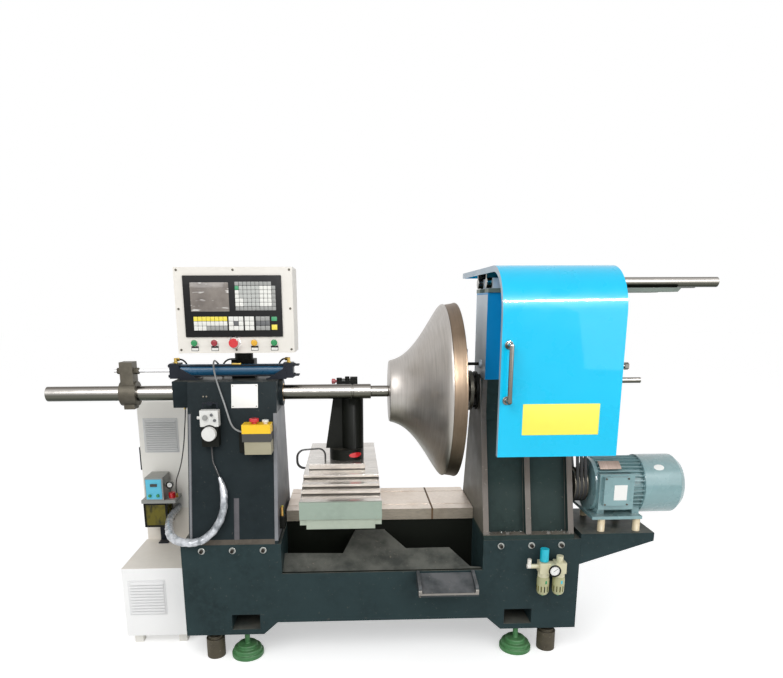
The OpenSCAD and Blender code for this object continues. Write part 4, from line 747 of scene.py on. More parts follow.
# Node: diameter in mm, route and finish
CORDS = {
    "pendant_cable": (
        8,
        [(109, -207, 994), (109, -209, 965), (113, -219, 925), (127, -229, 893), (141, -238, 860)],
        "cable_black",
    ),
    "wrapped_conduit": (
        38,
        [
            (141, -238, 860), (155, -248, 818), (160, -260, 765), (154, -271, 712), (135, -282, 664),
            (105, -291, 624), (63, -300, 594), (19, -302, 584), (-22, -292, 583), (-58, -268, 584),
            (-86, -232, 585), (-107, -188, 585), (-125, -138, 584), (-141, -86, 583), (-156, -32, 581),
            (-170, 28, 577), (-182, 92, 570), (-188, 152, 566), (-188, 202, 566), (-188, 252, 566),
        ],
        "conduit_wrap",
    ),
    "panel_cable": (
        8,
        [
            (166, 82, 1292), (145, 81, 1294), (125, 75, 1302), (110, 60, 1315), (102, 38, 1331),
            (99, 10, 1343), (100, -20, 1344), (104, -52, 1336), (111, -84, 1314), (122, -112, 1285),
            (136, -136, 1250), (150, -153, 1214), (164, -167, 1177), (177, -181, 1140), (189, -196, 1108),
            (201, -210, 1085), (215, -220, 1071), (233, -226, 1062), (252, -229, 1057),
        ],
        "cable_pale",
    ),
}
# The same for short hoses, with the corners of the route and the radius of its bends in mm
BENT_CORDS = {
    "left_air_hose": (8, [(-78, 0, 1350), (-39, 52, 1350), (-39, 52, 1262)], 45),
    "right_air_hose": (8, [(434, 0, 1350), (381.5, 46, 1350), (381.5, 46, 1262)], 48),
    "box_cable": (8, [(182, 78, 1345), (116, 78, 1345), (116, 78, 1262)], 45),
    "post_hose": (8, [(589, 60, 857), (589, 60, 915), (456, 18, 915), (456, 18, 824), (494, 30, 824)], 36),
    "post_hose_back": (8, [(589, 70, 857), (589, 70, 913), (458, 28, 913), (458, 28, 824), (494, 40, 824)], 36),
}
# Bodies of the cords that don't hang on the frame
CORD_BODY = {"post_hose": "cross_slide", "post_hose_back": "cross_slide"}


class LATHE_OT_cables(Step, bpy.types.Operator):
    """Lays the pendant's cable, the wrapped conduit, the panel's cable and the cylinder's hoses along their routes"""

    bl_idname = "lathe.cables"
    bl_label = "Cables"

    def make(self):
        for node, (diameter, route, finish) in CORDS.items():
            fine = node == "wrapped_conduit"
            path = spline(from_column(route), 16 if fine else 10)
            ripple, sides = (self.crinkle(path, 28), 28) if fine else (None, 16)
            tube = sweep(path, diameter * MM / 2, sides, ripple)
            obj = build(node + "_run", [(finish, tube)], node=node)
            self.declare(obj, path, diameter, "limp" if fine else "medium")
        for name, (diameter, corners, radius) in BENT_CORDS.items():
            path = filleted(from_column(corners), radius * MM)
            tube = sweep(path, diameter * MM / 2, 16)
            obj = build(name, [("cable_black", tube)], CORD_BODY.get(name, "base"))
            self.declare(obj, path, diameter, "medium")

    def declare(self, obj, path, diameter, stiffness):
        """Takes a cord's object, path, diameter and stiffness, and does nothing with them."""

    def crinkle(self, path, sides):
        """Factor of the radius of a film wrap: two slow waves along and round it, narrow at its first end."""
        along = np.arange(len(path))[:, None]
        turn = np.arange(sides)[None, :] * 2 * math.pi / sides
        factor = 0.94 + 0.06 * np.sin(along * 0.5 + 2 * turn) * np.cos(along * 0.13 + 3 * turn)
        factor += 0.1 * np.cos(2 * turn + along * 0.01)
        mouth = 24
        factor[:mouth] *= np.linspace(0.25, 1, mouth)[:, None] ** 0.7
        return factor


# Height in mm of the columns' tops, and of the bed's ends under them
COLUMN_TOP, LEDGE = 1262, 584


def column_face(z):
    """Y in mm of the tailstock column's sloping front at a height in mm."""
    top_y, run, rise = -125, 153, 700
    return top_y - run * (COLUMN_TOP - z) / rise


def on_column(shape):
    """A shape made about y = 0, moved onto the column's sloping front."""
    points = shape[0].copy()
    points[:, 1] += column_face(points[:, 2] / MM) * MM
    return points, shape[1]


class LATHE_OT_frame(Step, bpy.types.Operator):
    """Paints the bed, the columns, the shelf, the beams and the feet"""

    bl_idname = "lathe.frame"
    bl_label = "Frame"

    def make(self):
        edge = sizes().edge_mm
        # The bed's inside takes a near-black paint that stands for shade
        dress("bed", "bed_paint", edge, [("well_black", (-449, -272, 200), (449, 329, 578))])
        dress("chip_pan", "pan_sheet", 0.6)
        dress("front_tray", "tray_paint", 1.2, [("edge_steel", (140, -420, 360), (420, -395, 386))])
        dress("tailstock_column", "column_paint", edge, [
            ("strip_light", (-477, -300, 576), (-455, 300, 1126)),
            ("strip_light", (-848, -300, 576), (-836, -100, 1126), FRONT),
            ("gusset_grey", (-654, -300, 566), (-631, -200, 762), FRONT),
            ("ledge_dust", (-836, -300, 561), (-476.5, -200, 584), FRONT),
        ])
        dress_each(("tailstock_head", "column_paint", edge), ("quill_bushes", "bronze", 0.5))
        ribs = [("rib_edge", (x - 1, -290, 585), (x + 27, -80, 1262), FRONT) for x in (449, 641, 832)]
        dress("headstock_column", "head_paint", edge, [
            ("rib_side", (440, -300, 585), (450.2, 300, 1262)), *ribs,
            ("ledge_dust", (440, -290, 570), (900, 300, 585.5), UP),
            ("polished_bar", (859, 90, 1180), (1320, 200, 1330)),
        ])
        dress("motor_shelf", "bed_paint", edge, [("cream_spacer", (940, -300, 585.5), (1260, 100, 645))])
        dress("guard_beams", "beam_grey", 1.0)
        dress("slideway", "way_steel", 1.0, [
            # The slideway's front faces take a darker copy of its steel as painted shade
            ("way_front", (-460, -40, 575), (460, -30, 640), FRONT),
            ("seam_brown", (246, -40, 575), (255, 330, 640)),
        ])
        dress_each(("levelling_jacks", "jack_rust", 1.5), ("rubber_pads", "pad_green", 4.0))


class LATHE_OT_fasteners(Step, bpy.types.Operator):
    """Sets the screws of the bed and the columns, and the bare white plate"""

    bl_idname = "lathe.fasteners"
    bl_label = "Fasteners"

    def make(self):
        bed_front = SPAN["bed"].lo[1]
        shapes = []
        washer, z = 3.2, 535
        for x in (-799, -664, -529, 529, 667, 802):
            shapes.append(("screw_steel", disc(15, washer, at(x, bed_front, z), FRONT, 1.0)))
            shapes.append(("step_dark", socket_screw(at(x, bed_front - washer, z), FRONT, 17)))
        for x in (470, 560, 745, 838):
            shapes += [("edge_steel", s) for s in hex_bolt(at(x, -262, LEDGE), UP, 18, 8)]
        build("frame_bolts", shapes)
        build("swarf", self.swarf())
        block = [
            ("matt_black", slab((-462, -206, 606), (-438, -168, 664), 0, 3, 2)),
            ("bronze", bar(at(-450, -194, 662), at(-450, -194, 704), 14)),
            ("key_green", bar(at(-450, -178, 662), at(-450, -178, 694), 13)),
            ("key_yellow", bar(at(-450, -178, 693), at(-450, -178, 706), 10)),
        ]
        build("grease_block", block)
        plate = [("plate_white", on_column(slab((-659, -1.6, 1150), (-543, 0.6, 1252), 1, 2, 0.4)))]
        for x in (-652, -550):
            for z in (1157, 1245):
                rivet = slab((x - 2.5, -2.8, z - 2.5), (x + 2.5, -1.4, z + 2.5), 1, 2.4, 0.6)
                plate.append(("dark_steel", on_column(rivet)))
        for x in (-782, -768):
            screw = slab((x - 4, -1.5, 1196), (x + 4, 0.5, 1204), 1, 3.9, 0.5)
            plate.append(("dark_steel", on_column(screw)))
        build("column_plate", plate)

    def swarf(self):
        """Short curls of metal lying between the headstock's ribs."""
        rng = np.random.default_rng(4)
        shapes = []
        sunk, thick = 0.4, 0.5
        for x0, x1, count in ((480, 638, 30), (672, 828, 24)):
            for _ in range(count):
                x, y, turn = rng.uniform(x0, x1), rng.uniform(-262, -210), rng.uniform(0, 360)
                size = rng.uniform(2.5, 6)
                centre, radii = at(x, y, LEDGE + size - sunk), (size - thick, size)
                curl = arc_plate(centre, RIGHT, (0, 0, -1), radii, (-60, 110), (-1.2, 1.2), steps=7)
                shapes.append(("screw_steel", turned_about(curl, centre, turn)))
        return shapes


class LATHE_OT_quill(Step, bpy.types.Operator):
    """Makes the quill, its yoke, the pressure pad, and the air cylinder with its brass fittings"""

    bl_idname = "lathe.quill"
    bl_label = "Quill and air cylinder"

    def make(self):
        dress_each(
            ("quill", "polished_bar", 1.5), ("quill_yoke", "dark_steel", 3.0), ("piston_rod", "chrome", 0.5),
            ("pressure_pad", "polished_bar", 3.0), ("cylinder_barrel", "barrel_blue", 0.5),
            ("cylinder_caps", "black_metal", 1.2),
        )
        shapes = []
        for x, dx, dy in ((-929, 0.6, 0.8), (-417, -0.75, 0.66)):
            shapes += [bar(at(x, 0, 1335), at(x, 0, 1341), 20, 1, 6), bar(at(x, 0, 1340), at(x, 0, 1358), 15, 1.5)]
            for near, far, size in ((-4, 20, (14, 1.5)), (12, 19, (18, 1, 6))):
                ends = [at(x + reach * dx, reach * dy, 1350) for reach in (near, far)]
                shapes.append(bar(*ends, *size))
        shapes.append(slab((-676, -14, 1325), (-632, 6, 1334), 2, 3, 1))
        build("cylinder_fittings", [("brass", shape) for shape in shapes])


# The bell in mm: radius at its nose and its rim, length of its curve, wall, left end and axis
NOSE, RIM, CURVE, WALL = 141.0, 400.0, 268, 32
BELL_X, SPINDLE_Z = 42, 1198


def bell_radius(t):
    """Radius of the bell in mm at a share t of its length: a straight part and a smooth step."""
    u = np.power(t, 1.35)
    return NOSE + (RIM - NOSE) * (0.25 * t + 0.75 * u * u * (3 - 2 * u))


class LATHE_OT_mandrel(Step, bpy.types.Operator):
    """Turns the bell-shaped mandrel with its grooved rim, and finishes the spindle behind it"""

    bl_idname = "lathe.mandrel"
    bl_label = "Mandrel and spindle"

    def make(self):
        t = np.linspace(0, 1, 40)[1:]
        wide = bell_radius(t) + 15 * np.clip((t - 0.5) / 0.37, 0, 1) ** 2
        outer = [(11, 0), (136, 0), (139.5, 1.2)] + [(r, CURVE * s) for r, s in zip(wide, t) if s < 0.86]
        outer += [(391, 235), (394, 240), (394.5, 243), (392, 246)]
        band = [(391.5, 252), (393, 262), (395, 274), (397, 286), (399.2, 292), (399.8, 296), (398.6, 299)]
        back = [(394, 300.4), (356, 300.4), (355, 264)]
        t = np.linspace(0.95, 0.0, 24)
        inside = [(r - WALL, 30 + CURVE * s) for r, s in zip(bell_radius(t), t) if CURVE * s + 30 < 262]
        hub = [(85, 30), (85, 286), (50, 287), (50, 254), (11, 254)]
        profile = outer + band + back + inside + hub
        mesh = revolve(profile, at(BELL_X, 0, SPINDLE_Z), RIGHT, 144, closed=True)
        obj = build("mandrel_bell", [("spun_steel", mesh)], node="mandrel")
        obj.data.materials.append(material("spun_band"))
        for face in obj.data.polygons:
            x, y, z = in_mm(face.center)
            if x > BELL_X + 244.5 and math.hypot(y, z - SPINDLE_Z) > 380:
                face.material_index = 1
        dress("spindle", "dark_steel", 1.5, [("matt_black", (290, -120, 1080), (405, 120, 1310))])
        dress_each(
            ("spindle_bearings", "matt_black", 1.5), ("spindle_pulley", "dark_steel", 0.8),
            ("drive_belts", "belt_rubber", 0), ("lock_lever", "matt_black", 2.0),
        )


class LATHE_OT_guard(Step, bpy.types.Operator):
    """Paints the sliding guard with its folded edges, and makes its label, handle, shafts and bearings"""

    bl_idname = "lathe.guard"
    bl_label = "Guard"

    def make(self):
        shell = SPAN["guard_shell"]
        (x0, y0, z0), (x1, y1, z1) = shell.lo, shell.hi
        dress("guard_shell", "guard_blue", sizes().sheet_edge_mm, [
            ("guard_edge", (x0 - 1, y0 - 1, z0 - 1), (x0 + 3.2, y1 + 1, z1 + 1), LEFT),
        ])
        label = slab((x0 + 95, y0 - 1.2, z0 + 90), (x0 + 405, y0 + 0.2, z0 + 216), 1, 2, 0.4)
        build("guard_label", [("label_yellow", label)], "guard")
        dress_each(
            # The housing's darker blue is painted shade from the guard
            ("upper_housing", "housing_blue", 0.8), ("housing_end_plate", "light_grey", 0.8),
            ("guard_bearings", "light_grey", 1.5), ("guide_shafts", "polished_bar", 2.0),
            ("guard_handle", "polished_bar", 1.5),
        )


class LATHE_OT_motor(Step, bpy.types.Operator):
    """Makes the finned motor, its cowl, its bare plates and its rotor"""

    bl_idname = "lathe.motor"
    bl_label = "Motor"

    def make(self):
        dress_each(
            ("motor_body", "motor_green", 1.0), ("motor_cowl", "motor_green", 2.0), ("motor_rotor", "dark_steel", 0.8)
        )
        x, y, z = SPAN["motor_cowl"].mid
        left, front, _ = SPAN["motor_body"].lo
        plates = [
            ("plate_white", slab((left + 73, front - 1.2, z - 30), (left + 130, front + 0.5, z + 39), 1, 1.5, 0.3)),
            ("name_plate", arc_plate(at(left + 34, y, z), LEFT, FRONT, (127, 131), (45, 66), (-96, 0))),
            ("plate_white", arc_plate(at(left + 276, y, z), LEFT, FRONT, (133.5, 134.8), (40, 53), (-46, 0), True)),
        ]
        for dx, dz in ((26, 68), (124, 68), (26, -49), (124, -49)):
            plates.append(("dark_steel", socket_screw(at(left + 9 + dx, front, z + dz), FRONT, 8)))
        build("motor_plates", plates)


class LATHE_OT_slides(Step, bpy.types.Operator):
    """Finishes the saddle, the cross slide, the screws and the tool post with its fittings"""

    bl_idname = "lathe.slides"
    bl_label = "Slides and tool post"

    def make(self):
        dress("saddle", "saddle_steel", 1.2, [
            ("pale_green", (-400, -352, 697), (30, -337, 774.5)),
            ("apron_green", (-400, -352, 640), (30, -328, 697)),
            *[("step_dark", (-400, -330, z), (30, -100, z + 7), FRONT) for z in (774, 792)],
        ])
        dress("cross_slide", "saddle_steel", 1.2, [
            ("step_dark", (-400, -200, 809), (30, 0, 817), FRONT),
            ("step_dark", (-400, -100, 828), (30, 0, 833), FRONT),
        ])
        dress_each(
            ("long_screw", "bright_steel", 0.4), ("cross_screw", "bright_steel", 1.5),
            ("tool_post", "matt_black", 3.0), ("tool_roller", "bright_steel", 1.5),
        )
        knob = [(CORE, 0), (7, 0), (7, 6), (12, 8), (13, 20), (11, 24), (CORE, 25)]
        below_top = SPAN["tool_post"].hi[2] - 22
        build("post_fittings", [
            ("knob_pink", revolve(knob, at(-201, 96, below_top), LEFT, 24)),
            ("mushroom_red", arc_plate(at(-158, 110, 872), UP, FRONT, (82, 84.6), (8, 56), (0, 24), True)),
        ], "tool_post")


class LATHE_OT_control_box(Step, bpy.types.Operator):
    """Makes the control box with its display, keys, buttons and post"""

    bl_idname = "lathe.control_box"
    bl_label = "Control box"

    def key(self, tone, left, low, right, high, face):
        """Key cap on a face at depth face, between two corners."""
        return tone, slab((left, face - 2.2, low), (right, face + 0.5, high), 1, 1.5, 0.8)

    def keys(self, x0, top, columns, rows, pitch_x, pitch_z, tone_of, face):
        """Key caps in rows and columns; tone_of gives the tone of one by row and column."""
        gap = 0.65
        shapes = []
        for row in range(rows):
            for column in range(columns):
                left, high = x0 + column * pitch_x, top - row * pitch_z
                if tone_of(row, column):
                    shapes.append(self.key(
                        tone_of(row, column), left + gap, high - pitch_z + gap, left + pitch_x - gap, high - gap, face
                    ))
        return shapes

    def pad_tone(self, row, column):
        """Tone of a key of the large pad: a pale left column, a white block of numbers and grey for the rest."""
        if (row, column) == (0, 9):
            return None
        if (row, column) == (1, 0):
            return "key_green"
        if row in (0, 6) or column == 9:
            return "key_grey"
        return "key_white" if column == 0 or column >= 6 or (column == 1 and row >= 4) else "key_pale"

    def strip_tone(self, row, column):
        """Tone of a key of the lower left strip."""
        if row == 0:
            return "key_yellow"
        return "key_white" if row == 1 or column < 3 else "key_grey"

    def make(self):
        dress_each(("control_stand", "matt_black", 1.5), ("control_box", "box_white", 1.5))
        face = SPAN["control_face"]
        (x0, _, z0), (x1, _, z1) = face.lo, face.hi
        back = SPAN["control_box"].lo[1] + 6
        front = back - 7
        top = z1 - 172
        shapes = [
            ("face_black", slab((x0, front, z0), (x1, back, z1), 1, 3, 1.5)),
            ("screen_film", slab((x0 + 30, front - 0.8, z1 - 151), (x0 + 194, front + 2, z1 - 29), 1, 2, 0.6)),
        ]
        shapes += self.keys(x0 + 221, z1 - 26, 10, 7, 17.4, 17.4, self.pad_tone, front)
        for left, columns, pitch, tone_of in (
            (38, 8, 18.1, self.strip_tone),
            (188, 3, 21.3, lambda row, column: "key_dark" if (row, column) == (1, 1) else "key_white"),
            (257, 2, 20.5, lambda row, column: "key_white"),
            (305, 3, 20.3, lambda row, column: "key_dark" if row == 1 else "key_grey"),
        ):
            shapes += self.keys(x0 + left, top, columns, 3, pitch, 20, tone_of, front)
        for tone, low, high in (("key_green", 20, 2), ("key_yellow", 58, 36)):
            shapes.append(self.key(tone, x0 + 373, top - low, x0 + 397, top - high, front))
        build("control_panel", shapes, node="control_face")
        self.trim(back)

    def trim(self, front):
        """Screws, button caps and their plates on the box's front."""
        x0, (x1, _, z1) = SPAN["control_box"].lo[0], SPAN["control_box"].hi
        z0 = z1 - 365
        places = [(x, z) for x in (x0 + 13, (x0 + x1) / 2, x1 - 13) for z in (z0 + 15, z1 - 12)]
        places += [(x0 + 13, z1 - 175), (x1 - 13, z1 - 175)]
        trim = [("dark_steel", disc(5, 2.6, at(x, front, z), FRONT, 1.2, 20)) for x, z in places]
        for name, tone in (("start", "green"), ("stop", "red"), ("pause", "yellow"), ("clamp", "green")):
            node = name + "_button"
            x, _, z = SPAN[node].mid
            base = front - 10.5
            long = base - SPAN[node].lo[1]
            dome = [(CORE, 0), (12, 0), (14, 1.5), (14, long - 4), (11.5, long - 1.2), (6, long), (CORE, long)]
            build(node + "_cap", [
                ("lamp_" + tone, revolve(dome, at(x, base, z), FRONT, 32)),
                ("chrome", bar(at(x, base, z), at(x, front + 20, z), 22)),
            ], node=node)
            trim.append(("face_black", slab((x - 16, front - 1.0, z - 35), (x + 16, front + 0.2, z - 14), 1, 2, 0.3)))
            trim.append(("key_white", slab((x - 14, front - 1.6, z - 33), (x + 14, front - 0.8, z - 22), 1, 1.5, 0.3)))
        dress("panic_button", "mushroom_red", 2.5)
        x, _, z = SPAN["panic_button"].mid
        ring = [(21, 0), (26, 0), (26, 3), (24, 4.5), (21, 4)]
        trim.append(("chrome", revolve(ring, at(x, front, z), FRONT, 40, closed=True)))
        build("control_trim", trim, "control_box")


class LATHE_OT_stations(Step, bpy.types.Operator):
    """Makes the stop station and the pendant on the column"""

    bl_idname = "lathe.stations"
    bl_label = "Stop station and pendant"

    def make(self):
        (x0, y0, z0), (x1, y1, z1) = SPAN["station_box"].lo, SPAN["station_box"].hi
        back = column_face(965) - 2
        dress("station_box", "station_yellow", 2.0, [
            ("station_beige", (x0, y0 - 5, z0 - 1), (x1 + 1, back, z0 + 56)),
            ("station_grey", (x0 - 1, y0 - 5, z0 + 56), (x1 + 1, back, z0 + 92)),
            ("matt_black", (x0 - 1, back, z0 - 1), (x1 + 1, y1 + 5, z0 + 91)),
        ])
        bracket = slab((x0 - 24, column_face(z0 + 40) - 26, z0 - 4), (x0 + 4, column_face(z0) + 12, z0 + 86), 1, 2, 1)
        build("station_bracket", [("matt_black", bracket)])
        dress_each(("station_stop", "mushroom_red", 2.0), ("station_reset", "key_white", 1.5))
        (x0, y0, z0), (x1, y1, z1) = SPAN["pendant"].lo, SPAN["pendant"].hi
        dress("pendant", "pendant_white", 2.0, [
            ("matt_black", (x0 - 1, y0 - 5, z0 - 1), (x1 + 1, y1 + 1, z0 + 88)),
            ("black_metal", (x0 - 1, y0 - 5, z0 + 158.5), (x1 + 1, y1 + 1, z1 + 1)),
        ])
        middle = (x0 + 16 + x1) / 2
        dial = SPAN["pendant_dial"]
        (dx0, dy0, _), (dx1, dy1, _) = dial.lo, dial.hi
        radius, deep = (dx1 - dx0) / 2, dy1 - dy0
        seat = at((dx0 + dx1) / 2, dy1, dial.mid[2])
        skirt = [(CORE, 0), (radius, 0), (radius, deep * 0.45), (radius - 2, deep * 0.5), (CORE, deep * 0.5)]
        knob = [(CORE, 0), (radius * 0.86, 0), (radius * 0.84, deep * 0.9), (radius * 0.8, deep), (CORE, deep)]
        build("pendant_wheel", [
            ("matt_black", revolve(skirt, seat, FRONT, 64)), ("pendant_white", revolve(knob, seat, FRONT, 64))
        ], node="pendant_dial")
        shapes = [
            (tone, revolve(profile, at(middle + x, y0, z0 + z), FRONT, steps)) for tone, profile, x, z, steps in (
                ("key_grey", [(CORE, 0), (12, 0), (11, 9), (9.5, 11), (CORE, 11)], -16, 128, 24),
                ("key_dark", [(CORE, 0), (6.5, 0), (6, 7), (CORE, 8)], 12, 140, 18),
                ("key_dark", [(CORE, 0), (6.5, 0), (6, 7), (CORE, 8)], 24, 116, 18),
            )
        ]
        centre = at(middle, y0, z0 + 60)
        for angle in range(0, 360, 30):
            way = upright(angle)
            shapes.append(("key_dark", bar(centre + way * 31 * MM, centre + way * 34 * MM, 1.6, 0.2, 6)))
        build("pendant_knobs", shapes)


def upright(degrees):
    """Unit vector in the plane that faces the operator, turned by an angle from the right."""
    a = math.radians(degrees)
    return np.array([math.cos(a), 0, math.sin(a)])


# Route of the thin oil pipe from the pump to the quill's head
OIL_PIPE = (
    (-1018, 165, 660), (-1018, 160, 700), (-1000, 118, 752), (-964, 40, 810), (-930, -20, 880), (-905, -52, 970),
    (-893, -60, 1050), (-886, -60, 1110), (-885, -60, 1140),
)


class LATHE_OT_cabinet(Step, bpy.types.Operator):
    """Makes the cabinet with its door and louvred panels, and the lubricator in front of it"""

    bl_idname = "lathe.cabinet"
    bl_label = "Cabinet and lubricator"

    def louvres(self, x0, x1, z0, z1, front, count):
        """Panel with hoods: each is a quarter round along the panel, open below, with a grey strip of painted shade
        under it.
        """
        tone = "louvre_white" if z1 < 400 else "louvre_grey"
        shapes = [(tone, slab((x0, front - 1.5, z0), (x1, front + 0.2, z1), 1, 3, 0.5))]
        pitch = (z1 - z0 - 16) / count
        a = np.linspace(0, math.pi / 2, 5)
        foot, depth, thick, high = -1.4, 6.0, 1.2, pitch * 0.62
        outer = np.stack([foot - depth * np.sin(a), high * np.cos(a)], -1)
        inner = np.stack([foot - (depth - thick) * np.sin(a), (high - thick) * np.cos(a)], -1)[::-1]
        outline = np.concatenate([outer, inner])
        for k in range(count):
            low = z0 + 8 + k * pitch
            ring = [[at(x, front + y, low + z) for y, z in outline] for x in (x0 + 9, x1 - 9)]
            shapes.append((tone, skin(np.array(ring))))
            # A grey strip under each hood: painted shade beneath the hood
            gap = slab((x0 + 11, front - 1.9, low), (x1 - 11, front - 1.2, low + high * 0.55), 1, 0.4, 0.2)
            shapes.append(("key_grey", gap))
        return shapes

    def make(self):
        dress("cabinet", "cabinet_cream", sizes().sheet_edge_mm, [
            ("cabinet_white", (-1260, -140, 20), (-900, -110, 391)),
            ("cabinet_top", (-1260, -140, 389), (-900, 252.5, 560)),
        ])
        dress("cabinet_door", "cabinet_cream", sizes().sheet_edge_mm, [
            ("black_metal", (-1240, 200, 740), (-1215.4, 320, 900)),
        ])
        left = SPAN["cabinet_door"].hi[0] + 0.3
        low_front = SPAN["cabinet"].lo[1]
        shapes = self.louvres(left + 16, left + 192, 154, 332, low_front, 11)
        shapes += self.louvres(left + 24, left + 198, 858, 1036, 252, 14)
        build("cabinet_louvres", shapes)
        self.lubricator(left + 54, 645)

    def lubricator(self, x, z):
        """Pump box at x with its tank below the plate at height z."""
        dress("lubricator", "lube_grey", 1.0, [
            ("panel_blue", (x + 4, 111.5, z + 6), (x + 81, 115.1, z + 108)),
            ("oil_tank", (x - 19, 110, z - 144), (x + 95, 240, z - 17.5)),
            ("mushroom_red", (x + 96, 130, z + 0.5), (x + 136, 190, z + 29)),
            ("black_metal", (x + 15, 180, 380), (x + 75, 260, z - 17.5)),
        ])
        front = 127
        shapes = []
        for high in (-17.2, -133.5):
            shapes.append(("matt_black", slab((x - 20, front - 2, z + high - 10), (x + 96, 238, z + high), 2, 4, 1)))
        for side in (x - 20, x + 86):
            post = slab((side, front - 2, z - 142), (side + 10, front + 3, z - 18), 2, 1, 0.5)
            shapes.append(("matt_black", post))
        panel = SPAN["lubricator"].lo[1]
        for place in (22, 61):
            shapes.append(("lamp_green", disc(8, 7, at(x + place, panel + 5, z + 26), FRONT, 2)))
        display = slab((x + 26, panel + 2.4, z + 72), (x + 60, panel + 6, z + 86), 1, 1.5, 0.4)
        shapes.append(("station_grey", display))
        shapes += gauge(
            at(x + 112, 145, z + 71), [(12.5, 0), (18, 0), (18, 4), (14, 5), (12.5, 3.4)], 32, (12.8, 1.2),
            ((-4, -2, -3), (8, -2, 6), 1.4),
        )
        for px, py, z0, z1, *size in (
            (x + 139, 165, z, z + 9, 14, 1, 6), (x + 139, 165, z + 8, z + 22, 9, 1), (-885, -60, 1132, 1144, 12, 1, 6)
        ):
            shapes.append(("brass", bar(at(px, py, z0), at(px, py, z1), *size)))
        pipe = spline([at(*p) for p in OIL_PIPE], 8)
        shapes.append(("cable_black", sweep(pipe, 2.6 * MM, 10)))
        build("lubricator_trim", shapes)


class LATHE_OT_air_unit(Step, bpy.types.Operator):
    """Makes the air unit with its slotted bowls, gauge, drains and knob"""

    bl_idname = "lathe.air_unit"
    bl_label = "Air unit"

    def make(self):
        first, second, y, z = 716, 786, -318, 452
        dress("air_unit", "air_cream", 1.5, [
            ("air_bowl", (680, -360, z - 140), (820, -280, z - 48)),
            ("box_white", (first - 80, y - 14, z - 14), (first - 60, y + 14, z + 36)),
        ])
        dress("air_knob", "knob_blue", 2.0)
        shapes = []
        for x in (first, second):
            centre = at(x, y, 0)
            bowl = [(9, -134), (20, -131), (25, -124), (27, -114), (27.5, -60), (25.5, -47), (9, -46)]
            shapes.append(("air_bowl", revolve(bowl, at(x, y, z), UP, 40)))
            for a in range(0, 360, 30):
                slot = slab((x - 2.2, y - 27.9, z - 116), (x + 2.2, y - 26.6, z - 88), 1, 2, 0.3)
                shapes.append(("oil_tank", turned_about(slot, centre, a)))
            window = slab((x - 4, y - 28.3, z - 76), (x + 4, y - 26.6, z - 60), 1, 3, 0.5)
            shapes.append(("lamp_green" if x == first else "knob_blue", turned_about(window, centre, 12)))
            shapes.append(("key_green", bar(at(x, y, z - 142), at(x, y, z - 133), 9, 1)))
        dial = at(first + 36, y - 42, z - 6)
        rim = [(21, 0), (27.5, 0), (27.5, 3.5), (23, 5), (21, 3)]
        shapes += gauge(dial, rim, 40, (21.5, 1.4), ((-6, -2.2, -4), (13, -2.2, 10), 1.8))
        above = np.array([0, -1.5 * MM, 0])
        for angle in range(-40, 221, 26):
            way = upright(angle)
            mark = bar(dial + way * 15.5 * MM + above, dial + way * 19 * MM + above, 1.1, 0.1, 4)
            shapes.append(("key_dark", mark))
        build("air_trim", shapes)


WHITE = (1, 1, 1, 1)
# Share of its own light that the camera sees on the floor, which brings it near the white behind it
FLOOR_GLOW = 0.45


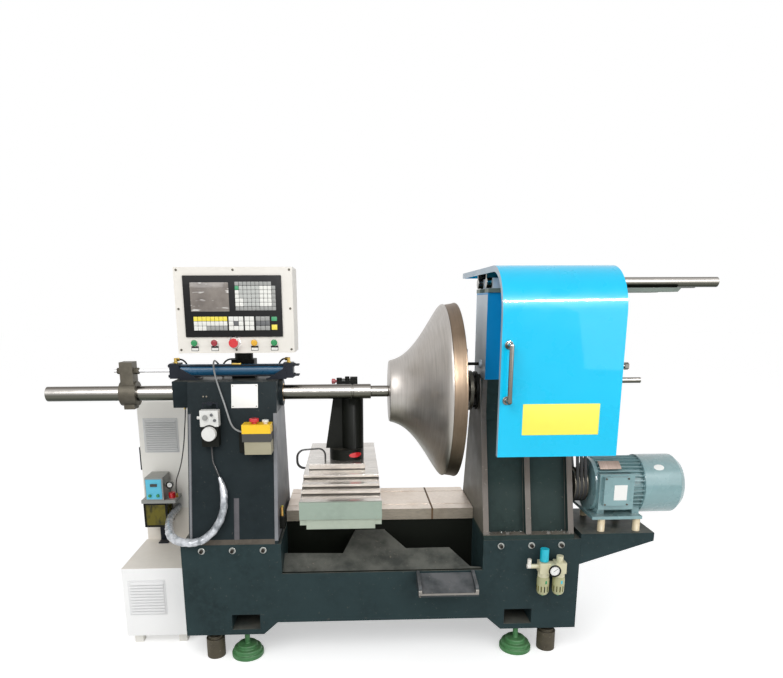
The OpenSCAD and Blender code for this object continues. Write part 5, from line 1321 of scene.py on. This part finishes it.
class LATHE_OT_stage(Step, bpy.types.Operator):
    """Sets the camera at the photo's angle, the floor and the lights"""

    bl_idname = "lathe.stage"
    bl_label = "Stage"

    def make(self):
        scene = bpy.context.scene
        self.camera(scene)
        self.floor(scene)
        self.lights(scene)
        scene.view_settings.view_transform = "Standard"

    def camera(self, scene):
        """Pinhole of a fitted place, pitch, yaw and roll, in a frame of 783 by 678 pixels."""
        width, height = 783, 678
        focal_px, centre = 616.66, (374.0, 441.1)
        pitch, yaw, roll = (math.radians(a) for a in (12.576, 1.982, -0.257))
        forward = np.array([math.sin(yaw) * math.cos(pitch), math.cos(yaw) * math.cos(pitch), -math.sin(pitch)])
        right = np.array([math.cos(yaw), -math.sin(yaw), 0])
        up = np.cross(right, forward)
        across = right * math.cos(roll) + up * math.sin(roll)
        upwards = -right * math.sin(roll) + up * math.cos(roll)
        data = bpy.data.cameras.new("photo_view")
        camera = bpy.data.objects.new("photo_view", data)
        scene.collection.objects.link(camera)
        turn = Matrix((across, upwards, -forward)).transposed().to_4x4()
        camera.matrix_world = Matrix.Translation(Vector(at(-126, -2848.2, 1595.7))) @ turn
        data.sensor_width = 36
        data.lens = focal_px * 36 / width
        data.shift_x = -(centre[0] - width / 2) / width
        data.shift_y = (centre[1] - height / 2) / width
        data.clip_end = 50
        scene.camera = camera

    def floor(self, scene):
        """Wide pale floor whose far part fades into the white surround."""
        mesh = bpy.data.meshes.new("floor")
        half = 30.0
        corners = [(-half, -half, 0), (half, -half, 0), (half, half, 0), (-half, half, 0)]
        mesh.from_pydata(corners, [], [(0, 1, 2, 3)])
        floor = bpy.data.objects.new("floor", mesh)
        scene.collection.objects.link(floor)
        f = Finish("floor", 0.9, shine=0.1)
        f.colour((*sizes().floor_tone, 1))
        f.feed(f.sockets["Emission Color"], WHITE)
        f.feed(f.sockets["Emission Strength"], f.times(f.seen(), FLOOR_GLOW))
        mesh.materials.append(f.mat)

    def lights(self, scene):
        """Even surround, a large soft lamp at the upper left, a weaker one at the right and a bright window strip."""
        world = bpy.data.worlds.new("surround")
        scene.world = world
        world.use_nodes = True
        tree = Tree(world.node_tree)
        tree.nodes.clear()
        even, white = (tree.node("Background", Color=WHITE, Strength=s) for s in (sizes().surround, 1.0))
        mix, out = tree.node("MixShader"), tree.node("OutputWorld")
        for socket, source in zip(mix.inputs, (tree.seen(), even.outputs[0], white.outputs[0])):
            tree.feed(socket, source)
        tree.feed(out.inputs["Surface"], mix.outputs[0])
        for name, place, size, power in (
            ("key", (-1600, -3200, 3600), 2.6, sizes().key_light),
            ("fill", (2600, -2600, 2200), 2.4, sizes().key_light * 0.45),
            ("window", (1050, -2950, 2950), 2.2, sizes().key_light * 3.0),
        ):
            data = bpy.data.lights.new(name, "AREA")
            data.size = size
            data.energy = power
            lamp = bpy.data.objects.new(name, data)
            scene.collection.objects.link(lamp)
            lamp.location = at(*place)
            aim = Vector(at(0, 0, 900)) - lamp.location
            lamp.rotation_mode = "QUATERNION"
            lamp.rotation_quaternion = aim.to_track_quat("-Z", "Y")
            if name == "window":
                data.shape = "RECTANGLE"
                data.size_y = 0.22
                lamp.visible_diffuse = False


OPERATORS = (
    LATHE_OT_stage, LATHE_OT_cables, LATHE_OT_frame, LATHE_OT_fasteners, LATHE_OT_quill, LATHE_OT_mandrel,
    LATHE_OT_guard, LATHE_OT_motor, LATHE_OT_slides, LATHE_OT_control_box, LATHE_OT_stations,
    LATHE_OT_cabinet, LATHE_OT_air_unit,
)


class LATHE_PT_panel(bpy.types.Panel):
    """Lists the steps that make the lathe"""

    bl_label = "Metal spinning lathe"
    bl_idname = "LATHE_PT_panel"
    bl_space_type = "VIEW_3D"
    bl_region_type = "UI"
    bl_category = "Lathe"

    def draw(self, context):
        for name in LatheSizes.__annotations__:
            self.layout.prop(context.scene.lathe_sizes, name)
        for operator in OPERATORS:
            self.layout.operator(operator.bl_idname)


CLASSES = (LatheSizes, *OPERATORS, LATHE_PT_panel)


def register():
    for cls in CLASSES:
        bpy.utils.register_class(cls)
    bpy.types.Scene.lathe_sizes = bpy.props.PointerProperty(type=LatheSizes)


def unregister():
    del bpy.types.Scene.lathe_sizes
    for cls in reversed(CLASSES):
        bpy.utils.unregister_class(cls)


def main():
    register()
    for operator in OPERATORS:
        group, name = operator.bl_idname.split(".")
        getattr(getattr(bpy.ops, group), name)()


if __name__ == "__main__":
    main()
